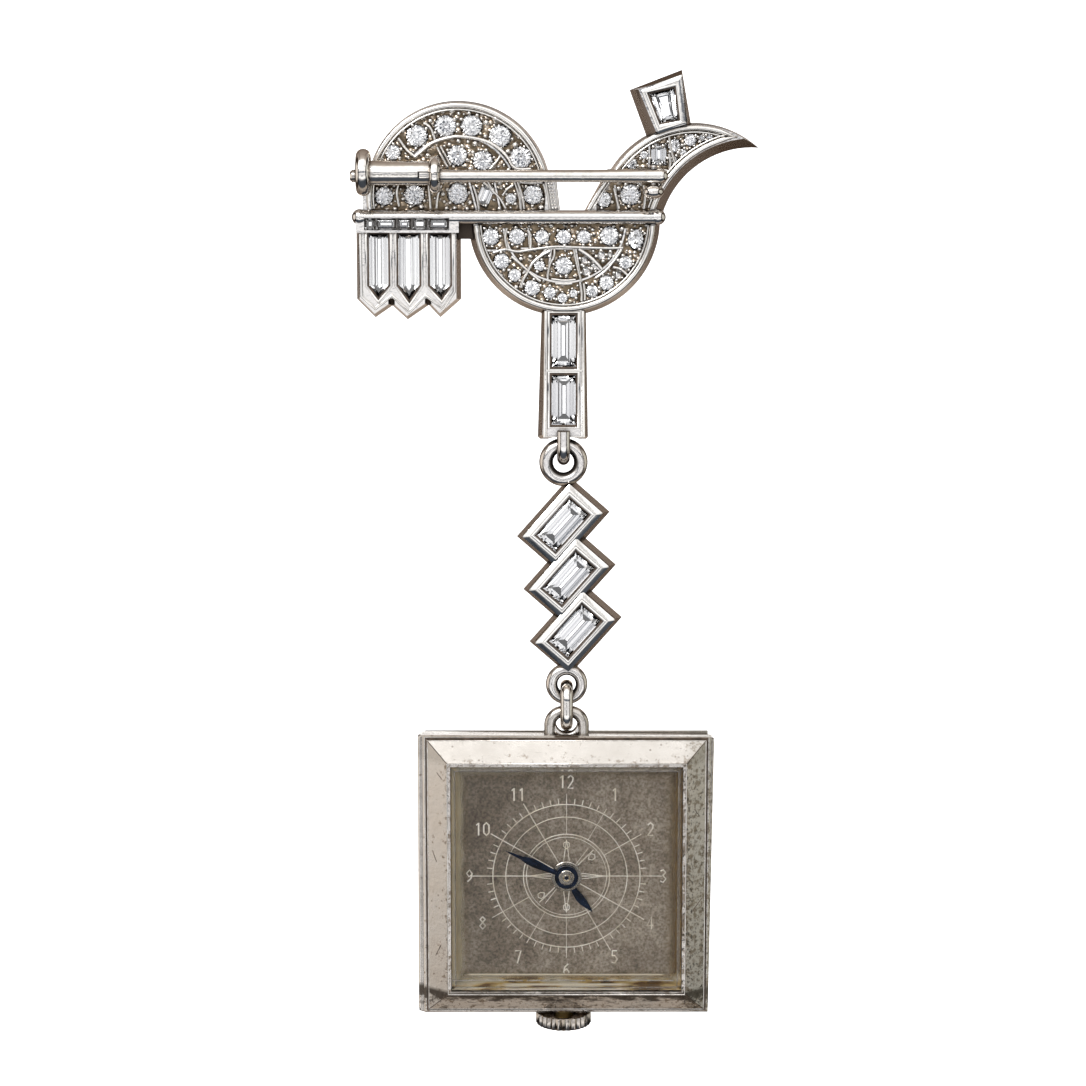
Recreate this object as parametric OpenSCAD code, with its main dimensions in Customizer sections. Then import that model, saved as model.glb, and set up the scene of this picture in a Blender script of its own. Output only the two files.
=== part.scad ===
// Lapel watch: a gem-set brooch bar with its pin on the viewer's side, a bar and bail, a link of three
// stepped lozenges, an oval connector and a square watch with its crown at the bottom.
// All sizes in millimetres. +Z is up, the front looks along -Y, the origin is on the pin's axis.

/* [Brooch] */
// outer radius of the upper round cluster at its front rim
roundel_r = 6.48; // [6.4:0.02:6.56]
// outer radius of the lower half-round cluster at its front rim
fan_r = 6.42; // [6.4:0.02:6.6]
// how far the lower cluster's wall spreads from front to back
draft = 0.42; // [0.1:0.02:0.5]
// radius of the long rounded bar that joins the clusters
rail_r = 0.49; // [0.4:0.01:0.55]
// radius of the round wire rims and ribs on the setting plates
rib_w = 0.12; // [0.08:0.01:0.14]

/* [Pin and catch] */
// radius of the pin stem in its slim middle
stem_r = 0.43; // [0.34:0.01:0.45]
// radius of the pin's tip inside the catch
tip_r = 0.24; // [0.18:0.01:0.25]
// outer radius of the catch's sliding sleeve
sleeve_r = 0.38; // [0.34:0.01:0.38]
// running gap round each sliding or turning piece
run_gap = 0.04; // [0.02:0.01:0.05]

/* [Drop] */
// wire radius of the fixed bail
bail_r = 0.46; // [0.4:0.01:0.46]
// wire radius of the ring at the top of the lozenge link
ring_r = 0.50; // [0.42:0.01:0.52]
// height of the three lozenges' walls, front to back
lozenge_t = 1.6; // [1.2:0.1:1.8]

/* [Watch] */
// width and height of the square case
case_w = 21.0; // [20.6:0.1:21.4]
// thickness of the crystal
crystal_t = 0.7; // [0.5:0.05:0.75]
// radius of the crown
crown_r = 2.05; // [1.8:0.05:2.1]
// length of the minute hand
minute_len = 4.6; // [3.6:0.1:5]
// length of the hour hand
hour_len = 3.2; // [2.6:0.1:3.5]

/* [Hidden] */

$fn = 72;
metal = [0.80, 0.79, 0.77];
gem_tint = [0.86, 0.90, 0.94];
steel_blue = [0.12, 0.17, 0.27];

// depth planes, front to back
rim_y = 1.6;
plate_y = 1.85;
plate_back = 2.85;
frame_back = 3.4;
panel_back = 3.2;
hang_y = 2.4;

// centres in the plane of the jewel, [x, z]
round_c = [-6.78, -1.39];
fan_c = [0.745, -3.20];
moon_c = [9.93, -3.29];
bite_c = [14.05, -4.65];
roundel_cheek = [[-0.66, -3.0], [0.44, -3.0], [0.12, -0.15], [-0.50, 0.05]];
rail_z = -2.92;
rail_y = 1.55;
split_z = -2.9;
hinge_x = 6.95;

// [x, z, width, height, sides, turn] of the stones in the upper round cluster
round_gems = [
  [-11.34, 1.60, 1.10, 1.10, 8, 0],
  [-9.64, 2.75, 1.55, 1.55, 8, 0],
  [-7.66, 3.42, 1.55, 1.55, 8, 0],
  [-5.81, 3.47, 1.55, 1.55, 8, 0],
  [-3.77, 2.75, 1.60, 1.60, 8, 0],
  [-2.37, 1.20, 1.60, 1.60, 8, 0],
  [-1.47, -1.37, 1.42, 1.42, 8, 0],
  [-6.83, 1.36, 1.45, 1.45, 8, 0],
  [-5.00, 1.01, 1.45, 1.45, 8, 0],
  [-6.80, -1.30, 1.50, 1.50, 8, 0],
  [-4.87, -1.42, 0.90, 1.60, 4, -22],
  [-3.03, -1.65, 0.80, 0.80, 8, 0],
  [-12.02, -1.47, 1.34, 1.34, 8, 0],
  [-9.88, -1.42, 1.50, 1.50, 8, 0]];

// the same columns for the lower half-round cluster
fan_gems = [
  [-4.47, -4.33, 1.25, 1.25, 8, 0],
  [-2.62, -4.30, 1.20, 1.20, 8, 0],
  [-0.84, -4.33, 1.05, 1.05, 8, 0],
  [0.69, -4.33, 1.10, 1.10, 8, 0],
  [2.13, -4.33, 1.00, 1.00, 8, 0],
  [3.96, -4.27, 1.40, 1.40, 8, 0],
  [5.85, -4.50, 1.15, 1.60, 8, 0],
  [-3.72, -6.05, 1.15, 1.15, 8, 0],
  [-2.78, -7.04, 0.95, 0.95, 8, 0],
  [-1.55, -7.94, 1.15, 1.15, 8, 0],
  [-0.28, -8.30, 0.90, 0.90, 8, 0],
  [0.62, -8.66, 0.75, 0.75, 8, 0],
  [1.40, -8.33, 0.62, 0.62, 8, 0],
  [2.72, -8.18, 0.90, 0.90, 8, 0],
  [3.73, -7.58, 1.10, 1.10, 8, 0],
  [4.58, -7.08, 0.60, 0.60, 3, 30],
  [5.08, -6.16, 1.00, 1.00, 8, 0],
  [0.69, -6.40, 1.30, 1.30, 8, 0],
  [-1.01, -6.37, 0.80, 0.80, 8, 0],
  [2.36, -6.30, 0.95, 0.95, 3, 0],
  [3.48, -5.72, 0.70, 0.70, 3, 60]];

// the same columns for the crescent
moon_gems = [
  [3.55, -1.72, 1.10, 1.10, 8, 0],
  [5.41, -1.37, 1.50, 1.50, 8, 0],
  [5.50, 0.80, 0.75, 0.75, 8, 0],
  [6.36, 1.44, 0.60, 0.60, 8, 0],
  [7.40, 1.46, 1.05, 1.50, 4, 0],
  [8.50, 2.08, 0.95, 0.95, 8, 0],
  [9.62, 2.46, 0.85, 0.85, 8, 0],
  [10.42, 2.60, 0.42, 0.42, 4, 0],
  [10.96, 2.66, 0.42, 0.42, 4, 0],
  [9.10, 1.60, 0.46, 0.46, 4, 30],
  [8.54, 1.08, 0.46, 0.46, 4, 30]];

// [left, right, left shoulder, right shoulder, point x, point z] of the three arrow walls and stones
arrow_walls = [
  [-14.08, -11.46, -8.82, -9.24, -12.77, -10.14],
  [-11.60, -8.86, -9.24, -9.20, -10.46, -10.29],
  [-9.00, -6.62, -9.20, -8.82, -8.12, -10.14]];
arrow_gems = [
  [-13.11, -11.73, -7.72, -7.72, -12.46, -8.60],
  [-11.03, -9.53, -7.72, -7.72, -10.26, -8.80],
  [-8.80, -7.35, -7.72, -7.72, -7.98, -8.62]];
arrow_top = -4.11;

// [left, right] of the small channel stones
channel = [[-13.35, -12.66], [-12.56, -11.16], [-11.04, -10.10], [-9.98, -8.98], [-8.86, -7.44]];
channel_z = [-3.02, -3.78];

// tapered box setting: wall at the back, rim at the front, stone, all counter-clockwise [x, z]
taper_wall = [[6.70, 2.70], [9.62, 3.45], [8.96, 7.20], [5.51, 5.88]];
taper_rim = [[7.16, 3.05], [9.26, 3.58], [8.95, 6.84], [5.91, 5.99]];
taper_gem = [[7.49, 3.66], [8.74, 3.89], [8.44, 6.10], [6.66, 5.68]];

// [bottom, top] of the two stones in the hanging bar
bar_gems = [[-13.55, -9.84], [-17.71, -14.12]];
bar_gem_x = [-0.17, 1.58];

// lozenge link
lozenges = [[0.64, -24.96], [1.10, -28.84], [1.55, -32.72]];
lean = -41.4;
ring_c = [0.70, -20.48];
low_c = [0.95, -36.77];
ring_major = 1.25;
low_major = 1.09;
low_r = 0.43;
conn_r = 0.46;
conn_major = 0.93;
bow_bend = 0.97;
bow_flat = 0.24;
bow_r = 0.43;

// watch
watch_c = [0.95, -50.92];
half = case_w / 2;
// front step of the case and its slightly wider body, as [x, z] corners measured from the watch's centre
case_step = [for (c = [[-half, -half], [half - 0.03, 0.02 - half], [half + 0.05, half - 0.13], [-half - 0.02, half]])
  watch_c + c];
case_body = [for (c = [[-half - 0.42, -half - 0.10], [half + 0.01, -half - 0.05], [half + 0.29, half - 0.33],
  [-half - 0.38, half - 0.11]]) watch_c + c];
bow_z = -39.80;
neck_z = -61.9;
minute_turn = 294;
hour_turn = 144.5;

// unit normal of an edge, pointing into a counter-clockwise outline
function inward(a, b) = [a.y - b.y, b.x - a.x] / norm(b - a);

// corner b of an outline moved in by d from both of its edges
function corner(a, b, c, d) = b + d * (inward(a, b) + inward(b, c)) / (1 + inward(a, b) * inward(b, c));

// convex counter-clockwise outline moved in by d
function inset(p, d) = [for (i = [0:len(p) - 1])
  corner(p[(i + len(p) - 1) % len(p)], p[i], p[(i + 1) % len(p)], d)];

// outline with each corner rounded through three points
function soft(p, r) = [for (i = [0:len(p) - 1], t = [0, 0.5, 1])
  let (b = p[i], u = p[(i + len(p) - 1) % len(p)] - b, v = p[(i + 1) % len(p)] - b)
  b + r * ((1 - t) * (1 - t) * u / norm(u) + t * t * v / norm(v))];

// rectangle about c, turned by a degrees
function rect(c, w, h, a) = [for (s = [[-1, -1], [1, -1], [1, 1], [-1, 1]])
  [c.x + s.x * w / 2 * cos(a) - s.y * h / 2 * sin(a), c.y + s.x * w / 2 * sin(a) + s.y * h / 2 * cos(a)]];

// girdle outline of one row of a stone table
function girdle(g) = [for (i = [0:g[4] - 1])
  let (a = 360 * (i + 0.5) / g[4], k = g[4] == 4 ? sqrt(2) : 1,
       u = k * g[2] / 2 * cos(a), v = k * g[3] / 2 * sin(a))
  [g[0] + u * cos(g[5]) - v * sin(g[5]), g[1] + u * sin(g[5]) + v * cos(g[5])]];

// arrow-ended outline of one row of an arrow table
function arrow(r, top) = [[r[0], r[2]], [r[4], r[5]], [r[1], r[3]], [r[1], top], [r[0], top]];

// solid between two outlines of the same length at two depths
module loft(a, b, ya, yb) {
  n = len(a);
  polyhedron(
    points = concat([for (p = a) [p.x, ya, p.y]], [for (p = b) [p.x, yb, p.y]]),
    faces = concat([[for (i = [n - 1:-1:0]) i]], [[for (i = [n:2 * n - 1]) i]],
      [for (i = [0:n - 1]) [i, (i + 1) % n, n + (i + 1) % n]],
      [for (i = [0:n - 1]) [i, n + (i + 1) % n, n + i]]));
}

// cone or cylinder along the depth axis
module disc(c, ya, ra, yb, rb) {
  translate([c.x, ya, c.y]) rotate([-90, 0, 0]) cylinder(h = yb - ya, r1 = ra, r2 = rb);
}

// rod along X
module rod(xa, ra, xb, rb, y, z) {
  translate([xa, y, z]) rotate([0, 90, 0]) cylinder(h = xb - xa, r1 = ra, r2 = rb);
}

// box from one corner to the other
module block(a, b) {
  translate(a) cube(b - a);
}

// raised wire along an arc on a setting plate
module arc_rib(c, r, from, to) {
  translate([c.x, plate_y + 0.02, c.y]) rotate([90, 0, 0])
    rotate_extrude(angle = to - from, start = from) translate([r - rib_w / 2, 0]) square([rib_w, 0.22]);
}

// raised straight wire between two points of a setting plate
module rib(a, b, w) {
  d = b - a;
  translate([a.x, plate_y + 0.02, a.y]) rotate([90, 0, 0]) rotate([0, 0, atan2(d.y, d.x)])
    translate([0, -w / 2, 0]) cube([norm(d), w, 0.20]);
}

// faceted stone: table, crown, girdle and pavilion on one outline
module gem(p, y, w) {
  union() {
    loft(inset(p, 0.22 * w), p, y - 0.15 * w, y);
    loft(p, inset(p, 0.44 * w), y, y + 0.42 * w);
  }
}

// one stone of a table row, girdle at the plate's surface
module table_gem(g) {
  gem(girdle(g), plate_y - 0.02, min(g[2], g[3]) * (g[4] == 3 ? 0.5 : 0.9));
}

// open seat under one stone of a table row
module seat(g) {
  w = min(g[2], g[3]);
  if (g[4] == 8 && g[2] == g[3])
    disc([g[0], g[1]], plate_y - 0.001, g[2] / 2 + 0.05, plate_back + 0.01, g[2] * 0.22);
  else
    loft(inset(girdle(g), -0.05), inset(girdle(g), w * (g[4] == 3 ? 0.12 : 0.2)), plate_y - 0.001, plate_back + 0.01);
}

// drafted round wall with its plate set back and its back hollow
module dish(c, r, flare) {
  difference() {
    disc(c, rim_y, r, frame_back, r + flare);
    disc(c, rim_y - 0.01, r - 0.27, plate_y, r - 0.42);
    disc(c, plate_back, r - 0.45, frame_back + 0.01, r - 0.45);
  }
}

module roundel() {
  difference() {
    union() {
      dish(round_c, roundel_r, 0.12);
      loft(roundel_cheek, inset(roundel_cheek, -0.03), rim_y, frame_back);
      arc_rib(round_c, 4.14, 27, 138);
      rib([-8.24, 1.98], [-7.62, 0.85], rib_w);
      rib([-3.55, -0.30], [-1.95, -0.30], rib_w);
      rib([-4.35, 0.30], [-3.78, -2.5], rib_w);
      rib([-6.02, -0.30], [-5.45, -2.5], rib_w);
      rib([-2.50, -0.30], [-2.30, -2.5], rib_w);
    }
    for (g = round_gems) seat(g);
    block([-15, 0, -10], [1, 5, split_z]);
  }
}

module fan() {
  difference() {
    union() {
      dish(fan_c, fan_r, draft);
      arc_rib(fan_c, 4.34, 187, 353);
      rib([-2.35, -5.14], [3.0, -5.14], rib_w);
      rib([-0.55, -5.20], [-2.20, -6.90], rib_w);
      rib([-0.20, -5.20], [-0.45, -7.35], rib_w);
      rib([1.55, -5.20], [1.90, -7.30], rib_w);
      rib([2.90, -6.40], [3.30, -6.65], rib_w);
      rib([1.86, -7.50], [2.02, -8.95], rib_w);
      rib([-3.45, -5.28], [-4.85, -5.28], rib_w);
      rib([-1.80, -3.70], [-1.72, -5.00], rib_w);
    }
    for (g = fan_gems) seat(g);
    block([-7, 0, split_z], [9, 5, 5]);
  }
}

// the crescent's outline solid, moved in by d from all its edges
module moon(d, ya, yb, s, q) {
  difference() {
    union() {
      disc(moon_c, ya, 6.80 - d, yb, 6.80 - d + s);
      loft(inset([[2.15, -2.90], [8.2, -2.90], [8.2, 0.5], [3.90, 0.25]], d),
        inset([[2.15, -2.90], [8.2, -2.90], [8.2, 0.5], [3.90, 0.25]], d - s), ya, yb);
    }
    disc(bite_c, ya - 0.01, 7.25 + d, yb + 0.01, 7.25 + d - q);
    block([0, ya - 1, -12], [20, yb + 1, split_z]);
  }
}

module crescent() {
  difference() {
    union() {
      difference() {
        moon(0, rim_y, frame_back, 0.15, 0.69);
        difference() {
          disc(moon_c, rim_y - 0.01, 6.56, plate_y, 6.50);
          disc(bite_c, rim_y - 0.02, 7.58, plate_y + 0.01, 7.64);
        }
        loft(rect([4.5, -1.2], 3.0, 2.9, 0), rect([4.5, -1.2], 2.9, 2.8, 0), rim_y - 0.01, plate_y);
        difference() {
          disc(moon_c, plate_back, 6.35, frame_back + 0.01, 6.35);
          disc(bite_c, plate_back - 0.01, 7.65, frame_back + 0.02, 7.65);
        }
      }
      rib([4.60, 0.20], [6.10, -0.35], rib_w);
      rib([6.72, 0.45], [6.72, 2.30], rib_w);
      rib([4.30, -0.70], [4.55, -2.50], rib_w);
      rib([7.00, -0.30], [7.85, 0.35], rib_w);
    }
    for (g = moon_gems) seat(g);
  }
}

module taper_setting() {
  difference() {
    loft(taper_rim, inset(taper_wall, -0.12), 1.0, panel_back);
    loft(inset(taper_gem, -0.12), inset(taper_gem, -0.05), 0.99, 1.35);
    loft(inset(taper_gem, -0.05), inset(taper_gem, 0.35), 1.34, panel_back + 0.01);
  }
}

module arrow_panel() {
  difference() {
    union() {
      for (r = arrow_walls) loft(inset(arrow(r, -3.3), 0.3), arrow(r, -3.1), rim_y, panel_back);
      block([-13.75, rim_y, -8.66], [-6.92, panel_back, -3.3]);
      block([-14.0, 1.15, -4.0], [-6.72, panel_back, -2.9]);
    }
    for (r = arrow_gems) {
      loft(inset(arrow(r, arrow_top), -0.10), inset(arrow(r, arrow_top), -0.05), rim_y - 0.5, plate_y);
      loft(inset(arrow(r, arrow_top), -0.05), inset(arrow(r, arrow_top), 0.35), plate_y - 0.01, panel_back + 0.01);
    }
  }
}

// straight recess that the small channel stones sit in
module channel_cut() {
  block([channel[0][0] - 0.05, 0.5, channel_z[1] - 0.05], [channel[4][1] + 0.05, 1.45, channel_z[0] + 0.05]);
  for (c = channel) block([c[0] + 0.2, 1.4, channel_z[1] + 0.2], [c[1] - 0.2, panel_back + 0.1, channel_z[0] - 0.2]);
}

module rail() {
  rod(-13.75, rail_r, 7.3, rail_r, rail_y, rail_z);
  for (x = [-13.72, 7.34]) translate([x, rail_y, rail_z]) sphere(r = rail_r + 0.08);
  block([-13.52, rim_y, -3.0], [-12.95, frame_back, -0.8]);
  block([-7.1, 2.3, -4.5], [-5.6, 3.0, -3.3]);
}

// rectangle outline between two widths, for a bar that grows downwards
function bar_outline(d) =
  [[-0.98 + d, -18.90 + d], [2.34 - d, -18.90 + d], [2.48 - d, -18.76 + d], [2.30 - d, -9.3], [-0.87 + d, -9.3],
   [-1.15 + d, -18.74 + d]];

module hanging_bar() {
  difference() {
    loft(bar_outline(0.34), bar_outline(0), rim_y, panel_back);
    for (z = bar_gems) {
      w = rect([(bar_gem_x[0] + bar_gem_x[1]) / 2, (z[0] + z[1]) / 2], bar_gem_x[1] - bar_gem_x[0], z[1] - z[0], 0);
      loft(inset(w, -0.14), inset(w, -0.05), rim_y - 0.01, plate_y);
      loft(inset(w, -0.05), inset(w, 0.4), plate_y - 0.01, panel_back + 0.01);
    }
    disc(ring_c, 1.78, ring_major + ring_r + 0.2, panel_back + 0.1, ring_major + ring_r + 0.2);
  }
}

module bail() {
  bail_major = ring_r + 0.06 + bail_r;
  bottom = ring_c.y + ring_major - ring_r - run_gap - bail_r;
  for (s = [-1, 1]) translate([ring_c.x, hang_y + s * bail_major, bottom + bail_major])
    cylinder(h = -18.15 - bottom - bail_major, r = bail_r);
  translate([ring_c.x, hang_y, bottom + bail_major]) rotate([90, 0, 90])
    rotate_extrude(angle = 180, start = 180) translate([bail_major, 0]) circle(r = bail_r);
}

module catch() {
  difference() {
    union() {
      rod(-13.0, 0.72, -8.6, 0.72, 0, 0.2);
      rod(-13.76, 1.38, -13.56, 1.60, 0, 0.25);
      rod(-13.56, 1.60, -13.12, 1.60, 0, 0.25);
      rod(-13.12, 1.60, -12.93, 1.40, 0, 0.25);
      rod(-8.67, 1.15, -8.52, 1.28, 0, 0.1);
      rod(-8.52, 1.28, -8.17, 1.28, 0, 0.1);
      rod(-8.17, 1.28, -8.02, 1.15, 0, 0.1);
      disc([-13.2, 0.2], 0.8, 0.3, 2.2, 0.3);
      disc([-8.35, 0.1], 0.8, 0.3, 2.2, 0.3);
    }
    rod(-13.9, sleeve_r + run_gap, -7.9, sleeve_r + run_gap, 0, 0);
    rod(-13.9, 0.47, -13.2, 0.47, 0, 0);
    block([-9.5, -2, -tip_r - run_gap], [-7.9, 0, tip_r + run_gap]);
  }
}

module hinge_post() {
  translate([hinge_x, 0, -1.5]) cylinder(h = 2.13, r = 0.2);
  translate([hinge_x, 0, 0.62]) cylinder(h = 0.12, r1 = 0.32, r2 = 0.24);
  translate([hinge_x, 0, -1.50]) cylinder(h = 0.20, r1 = 0.42, r2 = 0.63);
  translate([hinge_x, 0, -1.31]) cylinder(h = 0.44, r = 0.63);
  translate([hinge_x, 0, -0.88]) cylinder(h = 0.20, r1 = 0.63, r2 = 0.42);
  disc([hinge_x, -1.1], 0.2, 0.38, 2.2, 0.38);
}

module frame() {
  color(metal) union() {
    roundel();
    fan();
    crescent();
    taper_setting();
    difference() {
      union() {
        arrow_panel();
        rail();
      }
      channel_cut();
    }
    hanging_bar();
    bail();
    catch();
    hinge_post();
  }
}

module round_stones() {
  color(gem_tint) for (g = round_gems) table_gem(g);
}

module fan_stones() {
  color(gem_tint) for (g = fan_gems) table_gem(g);
}

module crescent_stones() {
  color(gem_tint) for (g = moon_gems) table_gem(g);
}

module channel_stones() {
  color(gem_tint) for (c = channel)
    gem(rect([(c[0] + c[1]) / 2, (channel_z[0] + channel_z[1]) / 2], c[1] - c[0], channel_z[0] - channel_z[1], 0), 1.3, 0.3);
}

module arrow_stone(i) {
  color(gem_tint) gem(arrow(arrow_gems[i], arrow_top), plate_y - 0.02, 1.1);
}

module arrow_stone_a() {
  arrow_stone(0);
}

module arrow_stone_b() {
  arrow_stone(1);
}

module arrow_stone_c() {
  arrow_stone(2);
}

module taper_stone() {
  color(gem_tint) gem(taper_gem, 1.3, 1.0);
}

module bar_stone(z) {
  color(gem_tint)
    gem(rect([(bar_gem_x[0] + bar_gem_x[1]) / 2, (z[0] + z[1]) / 2], bar_gem_x[1] - bar_gem_x[0], z[1] - z[0], 0),
      plate_y - 0.02, 1.5);
}

module bar_stone_a() {
  bar_stone(bar_gems[0]);
}

module bar_stone_b() {
  bar_stone(bar_gems[1]);
}

module pin_stem() {
  color(metal) difference() {
    union() {
      rod(-9.42, 0.12, -9.1, tip_r, 0, 0);
      rod(-9.1, tip_r, -7.9, tip_r, 0, 0);
      rod(-7.95, stem_r + 0.02, 0.4, stem_r, 0, 0);
      rod(0.4, stem_r, 3.2, stem_r + 0.01, 0, 0);
      rod(3.2, stem_r + 0.01, 7.44, 0.54, 0, 0);
      translate([7.44, 0, 0]) sphere(r = 0.54);
      block([-8.98, -0.64, -tip_r], [-8.08, 0, tip_r]);
      block([-8.64, -1.16, -tip_r], [-8.08, 0, tip_r]);
    }
    translate([hinge_x, 0, -1]) cylinder(h = 2, r = 0.2 + run_gap);
  }
}

module catch_sleeve() {
  color(metal) difference() {
    union() {
      rod(-13.9, sleeve_r, -9.5, sleeve_r, 0, 0);
      rod(-14.28, 0.3, -14.14, 0.42, 0, 0);
      rod(-14.14, 0.42, -13.76, 0.42, 0, 0);
    }
    rod(-11.0, tip_r + 0.05, -9.4, tip_r + 0.05, 0, 0);
  }
}

module lozenge(c) {
  front = rect(c, 2.73, 4.73, lean);
  back = rect(c + [0.06, -0.145], 3.87, 5.81, lean);
  s = rect(c, 1.85, 3.62, lean);
  difference() {
    loft(front, back, hang_y - lozenge_t / 2, hang_y + lozenge_t / 2);
    loft(inset(s, -0.14), inset(s, -0.05), hang_y - 1, plate_y);
    loft(inset(s, -0.05), inset(s, 0.4), plate_y - 0.01, hang_y + 1);
  }
}

module link() {
  color(metal) union() {
    for (c = lozenges) lozenge(c);
    for (i = [0, 1]) {
      c = (lozenges[i] + lozenges[i + 1]) / 2;
      loft(rect(c, 0.5, 2.1, lean), rect(c, 0.5, 2.1, lean), hang_y - lozenge_t / 2, hang_y + lozenge_t / 2);
    }
    translate([ring_c.x, hang_y, ring_c.y]) rotate([90, 0, 0])
      rotate_extrude() translate([ring_major, 0]) circle(r = ring_r);
    translate([low_c.x, hang_y, low_c.y]) rotate([90, 0, 0])
      rotate_extrude() translate([low_major, 0]) circle(r = low_r);
  }
}

module link_stone(c) {
  color(gem_tint) gem(rect(c, 1.85, 3.62, lean), plate_y - 0.02, 1.5);
}

module link_stone_a() {
  link_stone(lozenges[0]);
}

module link_stone_b() {
  link_stone(lozenges[1]);
}

module link_stone_c() {
  link_stone(lozenges[2]);
}

module connector() {
  top = low_c.y - low_major + low_r + run_gap + conn_r - conn_major;
  low = bow_z + bow_bend - bow_r - run_gap - conn_r + conn_major;
  color(metal) translate([low_c.x, hang_y, 0]) union() {
    translate([0, 0, top]) rotate([90, 0, 90])
      rotate_extrude(angle = 180) translate([conn_major, 0]) circle(r = conn_r);
    translate([0, 0, low]) rotate([90, 0, 90])
      rotate_extrude(angle = 180, start = 180) translate([conn_major, 0]) circle(r = conn_r);
    for (s = [-1, 1]) translate([0, s * conn_major, low]) cylinder(h = top - low, r = conn_r);
  }
}

// round-shouldered wire bow that stands on the case
module bow() {
  translate([watch_c.x, hang_y, bow_z]) union() {
    rod(-bow_flat, bow_r, bow_flat, bow_r, 0, bow_bend);
    for (s = [0, 1]) translate([bow_flat * (1 - 2 * s), 0, 0]) rotate([90, 0, 0])
      rotate_extrude(angle = 90, start = 90 * s) translate([bow_bend, 0]) circle(r = bow_r);
    for (s = [-1, 1]) translate([s * (bow_bend + bow_flat), 0, -1.2]) cylinder(h = 1.2, r = bow_r);
  }
}

module case() {
  color(metal) difference() {
    union() {
      loft(inset(case_step, 0.12), case_step, 1.6, 1.72);
      loft(case_step, case_step, 1.71, 2.2);
      loft(inset(soft(case_body, 0.3), 0.1), soft(case_body, 0.3), 2.1, 2.2);
      loft(soft(case_body, 0.3), soft(case_body, 0.3), 2.19, 3.5);
      loft(soft(case_body, 0.3), inset(soft(case_body, 0.3), 0.1), 3.49, 3.6);
      bow();
      translate([watch_c.x - 0.2, hang_y, neck_z]) cylinder(h = 0.6, r = 0.7);
    }
    block([watch_c.x - 9, 1, watch_c.y - 9], [watch_c.x + 9, 4, watch_c.y + 9]);
    translate([watch_c.x - 0.2, hang_y, -63]) cylinder(h = 4, r = 0.36 + run_gap);
  }
}

module bezel() {
  color(metal) difference() {
    union() {
      loft(rect(watch_c, 17.3, 17.3, 0), rect(watch_c, 20.3, 20.3, 0), 0.2, 1.35);
      block([watch_c.x - 10.15, 1.34, watch_c.y - 10.15], [watch_c.x + 10.15, 1.55, watch_c.y + 10.15]);
    }
    block([watch_c.x - 8.45, 0, watch_c.y - 8.45], [watch_c.x + 8.45, 2, watch_c.y + 8.45]);
  }
}

module crystal() {
  color([0.85, 0.9, 0.9, 0.3]) union() {
    loft(rect(watch_c, 16.2, 16.2, 0), rect(watch_c, 16.8, 16.8, 0), 0.25, 0.45);
    block([watch_c.x - 8.4, 0.44, watch_c.y - 8.4], [watch_c.x + 8.4, 0.25 + crystal_t, watch_c.y + 8.4]);
  }
}

module dial() {
  color([0.42, 0.39, 0.36]) difference() {
    block([watch_c.x - 8.9, 1.75, watch_c.y - 8.9], [watch_c.x + 8.9, 1.95, watch_c.y + 8.9]);
    disc(watch_c, 1.5, 0.4, 2.5, 0.4);
  }
}

module movement() {
  color([0.72, 0.66, 0.5]) difference() {
    union() {
      block([watch_c.x - 8.7, 2.0, watch_c.y - 8.7], [watch_c.x + 8.7, 4.1, watch_c.y + 8.7]);
      disc(watch_c, 1.08, 0.27, 2.1, 0.27);
    }
    translate([watch_c.x - 0.2, hang_y, watch_c.y - 9.7]) cylinder(h = 2.8, r = 0.36 + run_gap);
    block([watch_c.x - 0.7, 1.9, watch_c.y - 8.8], [watch_c.x + 0.3, 2.4, watch_c.y - 6.9]);
  }
}

module case_back() {
  color(metal) difference() {
    union() {
      loft(rect(watch_c, case_w - 0.2, case_w - 0.2, 0), rect(watch_c, case_w - 1.4, case_w - 1.4, 0), 3.65, 4.55);
      loft(rect(watch_c, case_w - 1.4, case_w - 1.4, 0), rect(watch_c, case_w - 3.0, case_w - 3.0, 0), 4.54, 4.85);
    }
    block([watch_c.x - 9, 3.6, watch_c.y - 9], [watch_c.x + 9, 4.25, watch_c.y + 9]);
  }
}

// hand pointing up from the centre, later turned clockwise by its angle
module hand(length, hub, wide, ya, yb, turn) {
  color(steel_blue) translate([watch_c.x, 0, watch_c.y]) rotate([0, turn, 0]) difference() {
    union() {
      disc([0, 0], ya, hub, yb, hub);
      translate([0, yb, 0]) rotate([90, 0, 0]) linear_extrude(yb - ya)
        polygon([[-wide * 0.35, 0], [wide * 0.35, 0], [wide / 2, length * 0.62], [0, length], [-wide / 2, length * 0.62]]);
    }
    disc([0, 0], ya - 0.1, 0.27 + run_gap, yb + 0.1, 0.27 + run_gap);
  }
}

module minute_hand() {
  hand(minute_len, 0.8, 0.62, 1.14, 1.28, minute_turn);
}

module hour_hand() {
  hand(hour_len, 1.0, 0.72, 1.42, 1.58, hour_turn);
}

module crown_stem() {
  color(metal) translate([watch_c.x - 0.2, hang_y, 0]) union() {
    translate([0, 0, -61.0]) cylinder(h = 2.9, r = 0.36);
    translate([0, 0, -62.35]) cylinder(h = 1.5, r = 0.26);
  }
}

module crown() {
  color(metal) translate([watch_c.x - 0.2, hang_y, 0]) difference() {
    union() {
      translate([0, 0, -62.34]) cylinder(h = 0.74, r = crown_r);
      translate([0, 0, -62.50]) cylinder(h = 0.17, r1 = crown_r - 0.18, r2 = crown_r);
    }
    translate([0, 0, -62.12]) cylinder(h = 1, r = crown_r - 0.3);
    translate([0, 0, -62.40]) cylinder(h = 1, r = 0.26 + run_gap);
  }
}

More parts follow.
